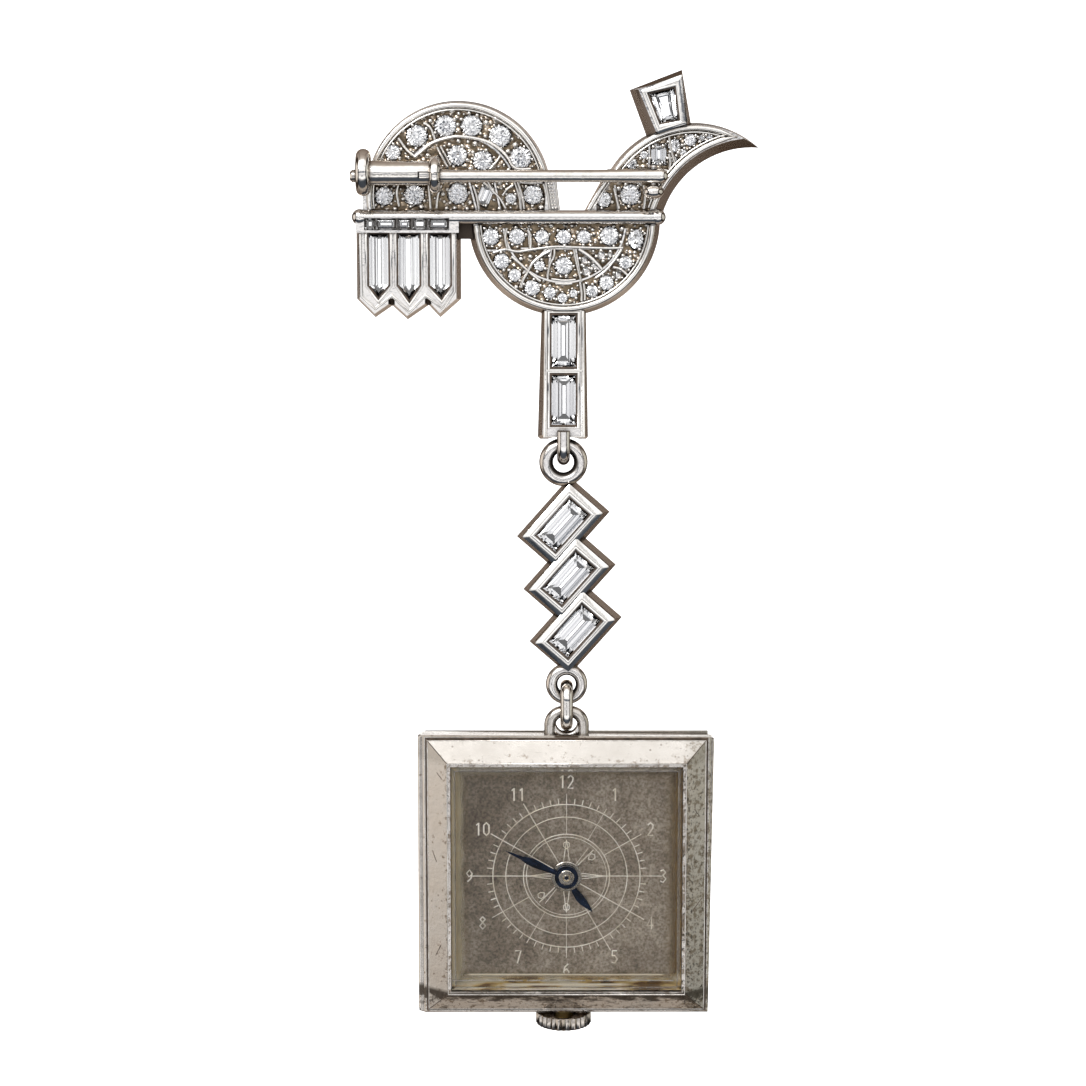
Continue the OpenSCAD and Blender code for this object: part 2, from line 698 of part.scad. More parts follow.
frame();
round_stones();
fan_stones();
crescent_stones();
channel_stones();
arrow_stone_a();
arrow_stone_b();
arrow_stone_c();
taper_stone();
bar_stone_a();
bar_stone_b();
pin_stem();
catch_sleeve();
link();
link_stone_a();
link_stone_b();
link_stone_c();
connector();
case();
bezel();
crystal();
dial();
movement();
case_back();
minute_hand();
hour_hand();
crown_stem();
crown();
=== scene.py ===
"""Lapel watch: gem-set brooch, hanging bar, link of three lozenges and a square watch, hanging free."""
import random
from math import acos, asin, atan2, cos, degrees, hypot, pi, radians, sin, sqrt

import bmesh
import bpy
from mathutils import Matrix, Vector


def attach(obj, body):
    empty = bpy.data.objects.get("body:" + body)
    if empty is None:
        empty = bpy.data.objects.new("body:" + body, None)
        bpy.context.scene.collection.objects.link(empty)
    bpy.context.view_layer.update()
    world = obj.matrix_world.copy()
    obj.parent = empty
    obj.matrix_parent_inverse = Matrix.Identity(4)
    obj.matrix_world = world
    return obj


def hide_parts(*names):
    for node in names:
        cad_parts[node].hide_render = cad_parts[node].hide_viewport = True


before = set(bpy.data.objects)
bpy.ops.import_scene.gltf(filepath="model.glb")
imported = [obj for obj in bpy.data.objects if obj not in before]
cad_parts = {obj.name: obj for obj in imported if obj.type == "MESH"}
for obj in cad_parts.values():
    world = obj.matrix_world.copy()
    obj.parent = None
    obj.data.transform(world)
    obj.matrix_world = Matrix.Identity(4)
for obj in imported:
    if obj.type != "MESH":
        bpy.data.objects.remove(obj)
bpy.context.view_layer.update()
MM = 0.001

# middles and radii of the round forms in the jewel's plane, x and z in mm
ROUNDEL, ROUNDEL_R = (-6.78, -1.39), 6.48
FAN, FAN_R = (0.745, -3.20), 6.42
MOON, MOON_R = (9.93, -3.29), 6.80
BITE, BITE_R = (14.05, -4.65), 7.25
WATCH = (0.95, -50.92)
# the two rings of the lozenge link: middle, and radius of the wire's middle line
LINK_RINGS = (((0.70, -20.48), 1.25), ((0.95, -36.77), 1.09))
# depths of the metal's front plane and of the clusters' set-back plates
FRONT, PLATE = 1.6, 1.85


# colour and nodes
def tone(code):
    """sRGB hex value to linear RGBA."""
    out = []
    for i in (0, 2, 4):
        c = int(code[i:i + 2], 16) / 255
        out.append(c / 12.92 if c <= 0.04045 else ((c + 0.055) / 1.055) ** 2.4)
    return (*out, 1.0)


def add(kind, feeds=None, tree=None, **settings):
    """Adds a node to the tree of the sockets that feed it, or to the given one.

    feeds fill its sockets with a link, an sRGB hex value or numbers; settings are its properties or, by name,
    sockets with a fixed value.
    """
    feeds = {key: term for key, term in (feeds or {}).items() if term is not None}
    links = {key: term for key, term in feeds.items() if isinstance(term, bpy.types.NodeSocket)}
    tree = tree or next(iter(links.values())).id_data
    n = tree.nodes.new("ShaderNode" + kind)
    for key, value in settings.items():
        if hasattr(n, key):
            setattr(n, key, value)
        else:
            n.inputs[key.replace("_", " ")].default_value = value
    for key, term in feeds.items():
        if key in links:
            tree.links.new(term, n.inputs[key])
        else:
            n.inputs[key].default_value = tone(term) if isinstance(term, str) else term
    return n


def sums(operation, a, b=None, c=None):
    """One step of arithmetic; each term is a socket or a number."""
    return add("Math", {0: a, 1: b, 2: c}, operation=operation).outputs[0]


def every(mask, *more):
    """Product of masks: high only where all of them are."""
    for term in more:
        mask = sums("MULTIPLY", mask, term)
    return mask


def either(mask, *more):
    """The highest of several masks."""
    for term in more:
        mask = sums("MAXIMUM", mask, term)
    return mask


def span(value, a, b, to_a=0.0, to_b=1.0):
    """Maps the range a to b onto to_a to to_b, held at its ends."""
    feeds = {"Value": value, "From Min": a, "From Max": b, "To Min": to_a, "To Max": to_b}
    return add("MapRange", feeds, clamp=True).outputs[0]


def off_line(value, at):
    """Distance of a place from a line at that height or width."""
    return sums("ABSOLUTE", sums("SUBTRACT", value, at))


def mix(factor, a, b, kind="MIX"):
    """Mixes two colours, each a socket or an sRGB hex value."""
    return add("Mix", {0: factor, 6: a, 7: b}, data_type="RGBA", blend_type=kind).outputs[2]


def ramp(source, *stops):
    """Colour ramp; each stop is a position with an sRGB hex value or a linear grey."""
    n = add("ValToRGB", {"Fac": source})
    strip = n.color_ramp.elements
    strip.remove(strip[1])
    strip[0].position = stops[0][0]
    for k, (at, shade) in enumerate(stops):
        stop = strip.new(at) if k else strip[0]
        stop.color = tone(shade) if isinstance(shade, str) else (shade, shade, shade, 1.0)
    return n.outputs["Color"]


def vector(operation, at, by=None):
    """One step of vector arithmetic between a place and fixed numbers."""
    n = add("VectorMath", {0: at, 1: by}, operation=operation)
    return n.outputs["Value" if operation == "DISTANCE" else "Vector"]


def split(at):
    """The X, Y and Z of a place or direction."""
    return add("SeparateXYZ", {0: at}).outputs


def noise(at, scale, detail=4.0, rough=0.5):
    return add("TexNoise", {"Vector": at}, Scale=scale, Detail=detail, Roughness=rough).outputs["Fac"]


def cells(at, scale, randomness):
    """Distance to the nearest of many scattered points."""
    return add("TexVoronoi", {"Vector": at}, Scale=scale, Randomness=randomness).outputs["Distance"]


def bump(height, strength, depth, normal=None):
    """Fine relief of that depth in metres, as a normal."""
    return add("Bump", {"Height": height, "Normal": normal}, Strength=strength, Distance=depth).outputs[0]


def blank(name):
    """Empty material, and the place on the object in mm, whole and as x, y and z."""
    m = bpy.data.materials.new(name)
    m.use_nodes = True
    m.node_tree.nodes.clear()
    place = add("TexCoord", tree=m.node_tree).outputs["Object"]
    mm = add("VectorMath", {0: place}, operation="SCALE", Scale=1000.0).outputs[0]
    return (m, mm, *split(mm))


def finish(m, colour, rough, normal=None, metallic=1.0, **more):
    """Gives the material one principled surface; colour, roughness and normal may be sockets."""
    feeds = {"Base Color": colour, "Roughness": rough, "Normal": normal}
    surface = add("BsdfPrincipled", feeds, m.node_tree, Metallic=metallic, **more)
    add("OutputMaterial", {0: surface.outputs[0]})
    return m


# materials
def distance(x, z, middle):
    """Distance in mm from a point of the jewel's plane."""
    flat = add("CombineXYZ", {"X": x, "Z": z}).outputs[0]
    return vector("DISTANCE", flat, (middle[0], 0.0, middle[1]))


def from_wire(x, z, middle, major):
    """How far outside the middle line of a ring's wire a point lies; negative towards the ring's hole."""
    return sums("SUBTRACT", distance(x, z, middle), major)


def from_middle(mm):
    """How far a point of the watch lies from its middle, measured square: 8.4 at the crystal's edge."""
    away = vector("SUBTRACT", mm, (WATCH[0], 0.0, WATCH[1]))
    side = split(vector("ABSOLUTE", away))
    return either(side["X"], side["Z"])


def recess_mask(x, y, z):
    """1 on the set-back plates and in the stone seats of the three clusters, else 0."""
    def inside(middle, radius):
        return sums("LESS_THAN", distance(x, z, middle), radius)
    upper = sums("GREATER_THAN", z, -2.85)
    roundel = every(inside(ROUNDEL, ROUNDEL_R - 0.28), upper)
    fan = every(inside(FAN, FAN_R - 0.28), sums("LESS_THAN", z, -3.2))
    outside = sums("GREATER_THAN", distance(x, z, BITE), BITE_R + 0.35)
    moon = every(inside(MOON, MOON_R - 0.26), upper, outside)
    deep = every(span(y, 1.68, 1.80), sums("LESS_THAN", y, 2.5))
    return every(either(roundel, fan, moon), deep)


def nooks(m, reach, most=0.9):
    """Painted shade from ambient occlusion: 1 deep in a corner, 0 on open metal; reach in metres."""
    open_sky = add("AmbientOcclusion", None, m.node_tree, samples=6, Distance=reach).outputs["AO"]
    return span(open_sky, 0.3, 0.85, most, 0.0)


def duller(rough, painted_shade):
    """Roughness that rises towards 0.5 where the painted shade lies."""
    return either(rough, every(painted_shade, 0.5))


def set_platinum():
    """Cast platinum: polished walls with a warm film, plates cut into grains with painted highlights on their tops,
    painted shade in every corner and on walls that face down, and a painted shadow under the catch.
    """
    m, mm, x, y, z = blank("platinum")
    mask = recess_mask(x, y, z)
    # grains 0.35 mm across, as the photo shows them between the stones
    grains = cells(mm, 2.6, 0.9)
    # the ramp paints a highlight on each grain's top and darkens the gaps between grains with tarnish and painted
    # shade
    grain_tarnish_and_light = ramp(grains, (0.0, "f4eee6"), (0.28, "d8cdbf"), (0.45, "ac9a85"), (0.62, "83745f"))
    film = span(every(noise(mm, 0.85, 6.0, 0.62), noise(mm, 6.0, 4.0, 0.7)), 0.2, 0.36)
    film = every(film, span(y, 1.62, 2.4, 0.05, 0.4))
    colour = mix(mask, mix(film, "f1eeeb", "94867a"), grain_tarnish_and_light)
    # the walls that lean back stay filmed all over, warm grey
    lean = every(span(y, 1.66, 1.75), sums("SUBTRACT", 1.0, mask))
    # on the two rings of the lozenge link the film is left off the crest as a painted highlight, and painted shade
    # turns them black towards the hole
    rings = sums("MINIMUM", *(from_wire(x, z, *ring) for ring in LINK_RINGS))
    lean = every(lean, span(rings, 0.10, 0.26))
    ring_hole_shade = every(span(rings, -0.30, -0.10, 0.95, 0.0), span(y, 1.87, 1.9))
    # painted shade: brown on the walls that look down, pale on those that look sideways
    facing = split(add("NewGeometry", tree=m.node_tree).outputs["Normal"])
    down = span(facing["Z"], -0.72, -0.95)
    side = span(sums("ABSOLUTE", facing["X"]), 0.3, 0.6)
    facing_shade = mix(down, mix(side, "ada298", "f0e8e0"), "70655b")
    colour = mix(every(lean, 0.75), colour, facing_shade)
    # painted shadow under the tube of the catch
    under = every(span(x, -12.9, -12.6), span(x, -8.9, -8.4, 1.0, 0.0),
                  span(off_line(z, -0.78), 0.16, 0.34, 0.95, 0.0), mask)
    # painted shade on the hidden bridge between the arrow panel and the lower cluster
    bridge_shade = every(span(x, -7.02, -6.95), span(x, -5.2, -5.1, 1.0, 0.0),
                   every(span(z, -4.6, -4.55), span(y, 1.95, 2.0)), span(z, -3.2, -3.1, 0.93, 0.0))
    # painted shade and shadow: ambient occlusion in the corners, the rings' holes, under the catch and on the bridge,
    # mixed to brown-black
    painted_shade = either(nooks(m, 0.0005), ring_hole_shade, under, bridge_shade)
    colour = mix(painted_shade, colour, "2e241b")
    lump = bump(every(span(grains, 0.0, 0.5, 1.0, 0.0), mask), 0.8, 0.00012)
    rub = bump(noise(mm, 3.2, 3.0), 0.3, 0.00004, lump)
    rough = either(span(film, 0.0, 1.0, 0.10, 0.34), span(lean, 0.0, 1.0, 0.0, 0.26))
    return finish(m, colour, duller(rough, painted_shade), rub, Specular_Tint=tone("8f8276"))


def polished(name, clean, film, rough, wave, amount, reach=0.0004):
    """Polished white metal, slightly wavy from the buff, with a faint film in patches and painted shade in its
    corners.
    """
    m, mm = blank(name)[:2]
    dim = span(noise(mm, 1.3, 5.0, 0.6), 0.5, 0.75, 0.0, amount)
    painted_shade = nooks(m, reach)
    colour = mix(painted_shade, mix(dim, clean, film), "44362b")
    rough = duller(span(dim, 0.0, 1.0, rough, rough + 0.18), painted_shade)
    return finish(m, colour, rough, bump(noise(mm, 2.0, 2.0), wave, 0.00005), Specular_Tint=tone("b3a698"))


def worn_case():
    """Worn white gold of the case: lapped flat, dulled, with brown and black specks that crowd at the lip."""
    m, mm, x, y, z = blank("worn_white_gold")
    cx, cz = WATCH
    cloud = noise(mm, 0.45, 6.0, 0.6)
    colour = ramp(cloud, (0.3, "dcd5cd"), (0.6, "eae5df"), (0.8, "f5f2ee"))
    # streaky stain, stronger at the lip, towards the right-hand side and at the foot, weaker on the flanks
    lip = span(from_middle(mm), 8.6, 9.5, 1.0, 0.0)
    bias = sums("MULTIPLY_ADD", lip, 0.085, span(x, 8.5, 10.4, -0.02, 0.085))
    bias = sums("ADD", bias, span(z, cz - 8.2, cz - 9.2, 0.0, 0.06))
    bias = sums("ADD", bias, span(y, 2.6, 3.2, 0.0, -0.12))
    stain = span(sums("ADD", noise(mm, 2.2, 6.0, 0.72), bias), 0.585, 0.665, 0.0, 0.85)
    colour = mix(stain, colour, "8d7c69")
    black = span(sums("ADD", noise(mm, 4.5, 5.0, 0.7), bias), 0.66, 0.70, 0.0, 0.9)
    colour = mix(black, colour, "2e261f")
    # specks 0.15 to 0.3 mm across, only where the slow noise is high
    group = span(noise(mm, 0.32, 2.0), 0.54, 0.62)
    spots = every(span(cells(mm, 2.3, 1.0), 0.12, 0.24, 1.0, 0.0), group, 0.85)
    colour = mix(spots, colour, "5d4a38")
    # the lower slope has lost its shine in smears, most along its inner half
    smear = noise(vector("MULTIPLY", mm, (0.35, 1.0, 1.0)), 1.9, 5.0, 0.65)
    smear = sums("ADD", smear, span(z, cz - 8.8, cz - 9.6, 0.15, -0.07))
    low = span(z, cz - 8.3, cz - 8.6, 0.0, 0.92)
    colour = mix(every(low, span(smear, 0.48, 0.62)), colour, "4a4139")
    # painted shade: the upper slope a little less bright, the right one darker
    colour = mix(span(z, cz + 8.4, cz + 8.9, 0.0, 0.45), colour, "b9b4ad")
    colour = mix(span(x, cx + 8.5, cx + 9.3, 0.0, 0.22), colour, "8f9086")
    # painted shade makes the bow black on its inner slope
    rise = either(sums("SUBTRACT", z, -39.80), 0.0)
    bow = span(from_wire(x, rise, (cx, 0.0), 1.09), -0.28, -0.10, 0.95, 0.0)
    painted_shade = either(nooks(m, 0.0005, 0.85), every(bow, span(z, -40.66, -40.58)))
    colour = mix(painted_shade, colour, "453729")
    rough = duller(span(cloud, 0.3, 0.7, 0.16, 0.3), painted_shade)
    return finish(m, colour, rough, bump(noise(mm, 1.6, 6.0, 0.7), 0.3, 0.00004))


def clear(name, code, rough, index):
    """Clear solid of that index."""
    return finish(blank(name)[0], code, rough, metallic=0.0, IOR=index, Transmission_Weight=1.0)


def blued_steel():
    """Blued steel of the hands: heat-blued, polished, nearly black with a blue glint."""
    m, mm = blank("blued_steel")[:2]
    return finish(m, ramp(noise(mm, 1.2), (0.3, "10161f"), (0.7, "1f2c44")), 0.28)


def aged_dial():
    """Silvered brass dial, aged: satin brown-grey, finely mottled, with pale and dark flecks and cloudy corners."""
    m, mm, x, _, z = blank("aged_silvered_dial")
    body = ramp(noise(mm, 0.4, 8.0, 0.65), (0.34, "908478"), (0.5, "a69a8d"), (0.66, "bbafa2"))
    # crossed brush strokes, drawn 0.15 mm wide
    grain = noise(mm, 6.0, 4.0, 0.6)
    body = mix(1.0, body, ramp(grain, (0.38, 0.62), (0.62, 1.35)), "MULTIPLY")
    body = mix(span(noise(mm, 3.5, 6.0, 0.75), 0.62, 0.68, 0.0, 0.7), body, "b8ac9c")
    body = mix(span(noise(mm, 2.7, 5.0, 0.7), 0.30, 0.36, 0.7, 0.0), body, "39322b")
    # darker towards the upper left corner, yellowed along the edge
    middle = WATCH[0] - 0.35 * WATCH[1]
    corner = span(sums("MULTIPLY_ADD", z, -0.35, x), middle - 12.0, middle + 4.0, 0.58, 0.0)
    body = mix(corner, body, "443b33")
    body = mix(span(from_middle(mm), 7.0, 8.6, 0.0, 0.5), body, "8f7a50")
    return finish(m, body, 0.45, bump(grain, 0.35, 0.00003), metallic=0.45)


def old_cement():
    """Yellowed cement that creeps in under the crystal: thick and brown at its edges, clear inside."""
    m, mm, x, _, z = blank("yellowed_cement")
    cx, cz = WATCH
    far = sums("MULTIPLY_ADD", noise(mm, 0.8, 4.0), 0.36, sums("SUBTRACT", from_middle(mm), 0.18))
    # thicker at the foot of the dial than at its top; painted shade makes it browner to the right
    far = sums("ADD", far, span(z, cz + 8.4, cz + 7.4, -0.2, 0.0))
    warm = ramp(span(far, 7.5, 8.4), (0.0, "fff5e0"), (0.5, "f2e2c0"), (1.0, "d6b985"))
    warm = mix(span(x, cx - 8.0, cx + 8.0, 0.0, 0.85), warm, "83663a")
    # at the foot it lies in level streaks
    streaks = noise(vector("MULTIPLY", mm, (0.3, 1.0, 1.0)), 1.2, 4.0)
    pool = ramp(streaks, (0.42, "7d5c28"), (0.5, "e4c382"), (0.58, "fff2d6"))
    colour = mix(span(z, cz - 7.3, cz - 7.8), warm, pool)
    # painted highlights: pale lines along its upper edge and part of its lower edge
    aside = off_line(x, cx)
    upper = every(span(off_line(z, cz - 7.50), 0.03, 0.11, 0.85, 0.0), span(aside, 7.0, 7.6, 1.0, 0.0))
    lower = every(span(off_line(z, cz - 8.26), 0.05, 0.11, 1.0, 0.0), span(aside, 4.0, 4.8, 1.0, 0.0))
    lines = either(upper, lower)
    paste = add("BsdfPrincipled", {"Base Color": mix(lines, colour, "fff6e2")}, Roughness=0.4)
    thick = either(span(far, 7.45, 8.35, 0.0, 0.95), lines)
    empty = add("BsdfTransparent", tree=m.node_tree)
    both = add("MixShader", {0: thick, 1: empty.outputs[0], 2: paste.outputs[0]})
    add("OutputMaterial", {0: both.outputs[0]})
    return m


def plain(name, code, dark, metallic, rough, scale):
    """Plain finished surface, a little cloudy."""
    m, mm = blank(name)[:2]
    return finish(m, ramp(noise(mm, scale, 5.0), (0.35, dark), (0.65, code)), rough, metallic=metallic)


# Platinum, cast and hand polished, with brown tarnish and painted shade low down between the grains and painted
# highlights on their tops.
platinum = set_platinum()
# The same platinum where it is drawn to wire or worked to beads: brighter, because it stands proud and is rubbed.
bright_platinum = polished("bright_platinum_wire", "f6f3ee", "a89c90", 0.08, 0.15, 0.3, 0.0003)
# White gold wire and tube, drawn and polished: light grey, clean, wavy reflections.
white_gold = polished("white_gold", "f1ede8", "9a8d80", 0.06, 0.3, 0.3)
# The case: worn white gold.
case_gold = worn_case()
# Cut diamond: colourless, very high index, so its facets throw white, grey-blue and dark patches.
diamond = clear("diamond", "fdfdfe", 0.0, 2.417)
# Watch crystal: clear flat glass with ground edges.
glass = clear("crystal_glass", "fbfaf7", 0.02, 1.5)
# Hands: blued steel, nearly black.
blue_steel = blued_steel()
# Dial: silvered brass gone brown-grey.
dial_face = aged_dial()
# Old cement round the dial: amber, wet-looking.
cement = old_cement()
# Movement and inner parts, never seen from outside.
gilt_brass = plain("gilt_brass", "c9b27a", "9c8454", 1.0, 0.3, 0.8)
steel = plain("plain_steel", "a9a7a4", "7d7a76", 1.0, 0.3, 2.0)
# Wall of the arrow panel: platinum left satin, with a warm brown film.
warm_wall = polished("warm_satin_platinum", "8b8077", "675d54", 0.32, 0.1, 0.5)
# Hub, stone foils and burnished arrises of the watch: bright, hard polished, too small to hold dirt.
silvered = plain("burnished_silver", "f3efe9", "cbc4bb", 1.0, 0.14, 1.5)
# Crown: white gold worn brown-grey in patches, with painted shade in its flutes.
crown_gold = polished("worn_crown_gold", "cfc7be", "82756a", 0.16, 0.3, 0.8, 0.0006)
# Engraved lines of the dial: bright cut metal, light cream.
engraving = plain("engraved_line", "fffbf4", "e6dccb", 1.0, 0.28, 1.5)
# Old dirt in the grooves of the case, and painted shade in the valleys of the arrow panel: dull dark brown.
groove_dirt_and_shade = plain("groove_dirt_and_shade", "5a4a3d", "33291f", 0.0, 0.6, 2.5)
# Shadowed step inside the bezel: its blue-black colour is painted shade and a painted reflection of the dark room.
dark_lip = plain("dark_lip", "4a505a", "262b33", 0.6, 0.3, 1.2)


# camera, backdrop, light
def put(name, data):
    """Adds an object with that data to the scene."""
    obj = bpy.data.objects.new(name, data)
    bpy.context.collection.objects.link(obj)
    return obj


def camera():
    cam = put("camera", bpy.data.cameras.new("camera"))
    cam.data.sensor_width = 36.0
    cam.data.lens = 92.82
    cam.data.clip_start = 0.01
    cam.location = (-0.77 * MM, -197.538 * MM, 5.286 * MM)
    cam.rotation_euler = (radians(81.0), 0.0, 0.0)
    bpy.context.scene.camera = cam


def key_light():
    """Broad soft window, high in front on the left."""
    lamp = bpy.data.lights.new("key", "AREA")
    lamp.shape = "RECTANGLE"
    lamp.size, lamp.size_y = 240 * MM, 200 * MM
    lamp.energy = 0.9
    obj = put("key", lamp)
    obj.location = Vector((-160, -260, 210)) * MM
    obj.rotation_euler = (Vector((0, 0, -20)) * MM - obj.location).to_track_quat("-Z", "Y").to_euler()


# what the light tent shows round the jewel, by angle: 0 in front, 90 above, 180 behind, -90 below
TENT = [(-180, "857a72"), (-130, "766b62"), (-104, "7d736b"), (-96, "9f968c"), (-86, "9f968c"), (-78, "3f4248"),
        (-44, "40464e"), (-36, "9c9da0"), (-28, "ffffff"), (-21, "ffffff"), (-13, "cfcfd2"), (-7, "cfcfd2"),
        (-4, "f6f6f6"), (-1, "c9cacd"), (2, "565c66"), (5, "565c66"), (9, "f0f0f1"), (20, "ffffff"), (33, "ffffff"),
        (36, "cfcfd1"), (39, "ffffff"), (66, "ffffff"), (74, "b8b0a8"), (92, "968b82"), (118, "8a7f76"),
        (180, "857a72")]
# the same across, by the sideways part of the direction: dark gaps between the side panels
GAPS = [(0.0, "ffffff"), (0.40, "ffffff"), (0.45, "a9a9ab"), (0.50, "ffffff"), (0.66, "ffffff"), (0.74, "5c5650"),
        (0.86, "5c5650"), (0.92, "ffffff"), (1.0, "ffffff")]


def studio():
    """Light tent: white in front and above, a thin dark slit at the camera, dull behind and below."""
    scene = bpy.context.scene
    scene.view_settings.view_transform = "Standard"
    scene.world = bpy.data.worlds.new("studio")
    scene.world.use_nodes = True
    t = scene.world.node_tree
    t.nodes.clear()
    way = split(add("TexCoord", tree=t).outputs["Generated"])
    turn = sums("ARCTAN2", way["Z"], sums("MULTIPLY", way["Y"], -1.0))
    around = ramp(span(turn, -pi, pi), *(((a + 180) / 360, code) for a, code in TENT))
    across = sums("ABSOLUTE", way["X"])
    ends = mix(sums("LESS_THAN", way["X"], 0.0), "b0aea4", "d2cac1")
    colour = mix(span(across, 0.88, 0.95), mix(1.0, around, ramp(across, *GAPS), "MULTIPLY"), ends)
    # a grey card under the lens, which only the flat watch glass mirrors
    low = off_line(turn, radians(-16.0))
    card = every(span(low, radians(3.3), radians(4.2), 1.0, 0.0),
                 span(across, 0.08, 0.11, 1.0, 0.0))
    colour = mix(card, colour, "4b4a49")
    # what stands behind the jewel looks like plain pale paper from every side
    colour = mix(add("LightPath", tree=t).outputs["Is Camera Ray"], colour, "dedbd7")
    light = add("Background", {"Color": colour}, Strength=1.34)
    add("OutputWorld", {0: light.outputs[0]})


def paper_backdrop():
    """White paper far behind."""
    me = bpy.data.meshes.new("backdrop")
    me.from_pydata([Vector((x, 420, z)) * MM for x, z in ((-150, -240), (150, -240), (150, 80), (-150, 80))],
                   [], [(0, 1, 2, 3)])
    me.materials.append(finish(blank("white_paper")[0], "ffffff", 0.9, metallic=0.0, Emission_Color=tone("ffffff"),
                               Emission_Strength=0.9))
    put("backdrop", me)


camera()
key_light()
studio()
paper_backdrop()


# mesh helpers, all in mm
def piece(name, parts, material, body="brooch", replaces=(), smooth=None):
    """Joins (points, faces) meshes in mm into one piece that rides on a body."""
    verts, faces = [], []
    for v, f in parts:
        n = len(verts)
        verts.extend(Vector(p) * MM for p in v)
        faces.extend([n + i for i in face] for face in f)
    me = bpy.data.meshes.new(name)
    me.from_pydata(verts, [], faces)
    bm = bmesh.new()
    bm.from_mesh(me)
    bmesh.ops.recalc_face_normals(bm, faces=bm.faces)
    bm.to_mesh(me)
    bm.free()
    me.materials.append(material)
    obj = put(name, me)
    if smooth is not None:
        for p in me.polygons:
            p.use_smooth = True
        me.set_sharp_from_angle(angle=radians(smooth))
    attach(obj, body)
    if replaces:
        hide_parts(*replaces)


def turns(n):
    """n equal steps round a circle, in radians."""
    return [2 * pi * k / n for k in range(n)]


def polar(c, r, a):
    """Point of the jewel's plane at distance r from c, a in radians."""
    return (c[0] + r * cos(a), c[1] + r * sin(a))


def sin_cos(deg):
    """Sine and cosine of an angle in degrees."""
    return sin(radians(deg)), cos(radians(deg))


def level(p, y):
    """Outline at depth y."""
    return [(x, y, z) for x, z in p]


def circle(c, r, y, n):
    """n points round a circle in the jewel's plane."""
    return level([polar(c, r, a) for a in turns(n)], y)


def rings_mesh(rings, closed=False, cap=True):
    """Skin between rings of equal length."""
    n = len(rings[0])
    verts = [p for ring in rings for p in ring]
    faces = []
    last = len(rings) if closed else len(rings) - 1
    for k in range(last):
        a, b = k * n, (k + 1) % len(rings) * n
        faces += [(a + i, a + (i + 1) % n, b + (i + 1) % n, b + i) for i in range(n)]
    if cap and not closed:
        faces.append(tuple(range(n))[::-1])
        faces.append(tuple(range((len(rings) - 1) * n, len(rings) * n)))
    return verts, faces


def wire(path, r, sides, closed=False, flat=1.0, fade=0):
    """Round wire along 3-D points; flat squeezes it front to back, fade points at its end run out to a tip."""
    pts = [Vector(p) for p in path]
    rings = []
    for i, p in enumerate(pts):
        a = pts[i - 1] if i or closed else p
        b = pts[(i + 1) % len(pts)] if i < len(pts) - 1 or closed else p
        along = (b - a).normalized()
        side = along.cross(Vector((0, 1, 0)))
        side = side.normalized() if side.length > 1e-6 else Vector((1, 0, 0))
        out = along.cross(side).normalized()
        bend = 1.0
        if i and i < len(pts) - 1 or closed:
            u, v = (p - a).normalized(), (b - p).normalized()
            bend = 1.0 / max(0.6, sqrt(max(0.0, (1 + u.dot(v)) / 2)))
        if i > len(pts) - 1 - fade:
            bend *= 1.0 - 0.85 * (i - len(pts) + 1 + fade) / fade
        rings.append([p + side * r * bend * cos(t) + out * r * flat * sin(t) for t in turns(sides)])
    return rings_mesh(rings, closed)


def arc(c, r, a0, a1, y, n):
    """Points on an arc in the jewel's plane, angles in degrees."""
    return level([polar(c, r, radians(a0 + (a1 - a0) * k / n)) for k in range(n + 1)], y)


def eased(points, y):
    """Smooth curve through points in the jewel's plane, five steps from each to the next."""
    p = [points[0], *points, points[-1]]
    out = []
    for k in range(1, len(p) - 2):
        for i in range(5):
            s = i / 5
            out.append(tuple(
                0.5 * (2 * p[k][j] + (p[k + 1][j] - p[k - 1][j]) * s
                       + (2 * p[k - 1][j] - 5 * p[k][j] + 4 * p[k + 1][j] - p[k + 2][j]) * s * s
                       + (3 * p[k][j] - p[k - 1][j] - 3 * p[k + 1][j] + p[k + 2][j]) * s ** 3) for j in (0, 1)))
    out.append(points[-1])
    return [(x, y, z) for x, z in out]


def inset(p, d):
    """Convex counter-clockwise outline moved in by d."""
    out = []
    n = len(p)
    for i in range(n):
        a, b, c = Vector(p[i - 1]), Vector(p[i]), Vector(p[(i + 1) % n])
        u = Vector((a.y - b.y, b.x - a.x)).normalized()
        v = Vector((b.y - c.y, c.x - b.x)).normalized()
        q = b + d * (u + v) / (1 + u.dot(v))
        out.append((q.x, q.y))
    return out


def rect(c, w, h, a=0.0):
    """Corners of a rectangle w by h round c, turned by a degrees."""
    s, k = sin_cos(a)
    return [(c[0] + x * w / 2 * k - z * h / 2 * s, c[1] + x * w / 2 * s + z * h / 2 * k)
            for x, z in ((-1, -1), (1, -1), (1, 1), (-1, 1))]


def rounded(p, r):
    """Convex outline with each corner rounded in four steps."""
    out = []
    for i, b in enumerate(p):
        a, c = Vector(p[i - 1]), Vector(p[(i + 1) % len(p)])
        b = Vector(b)
        u, v = (a - b).normalized(), (c - b).normalized()
        for k in range(5):
            s = k / 4
            q = b + r * ((1 - s) ** 2 * u + s * s * v)
            out.append((q.x, q.y))
    return out


def frame_ring(*rows):
    """Closed frame from (outline, depth) rows, all outlines with the same number of points."""
    return rings_mesh([level(p, y) for p, y in rows], closed=True)


def band(outer, inner, y_out, y_in, back):
    """Flat or sloping frame between two outlines of equal length, with a little thickness behind it."""
    return frame_ring((outer, y_out), (inner, y_in), (inner, back), (outer, back))


def bead(c, r, flat):
    """Small raised grain: a low dome of a few faces."""
    rings = []
    for lat, k in ((0.0, 1.0), (35.0, 0.82), (65.0, 0.42)):
        q = radians(lat)
        rings.append(circle((c[0], c[2]), r * k, c[1] - r * flat * sin(q), 8))
    v, f = rings_mesh(rings, cap=False)
    v.append((c[0], c[1] - r * flat, c[2]))
    n = len(v) - 1
    f += [(16 + i, 16 + (i + 1) % 8, n) for i in range(8)]
    return v, f


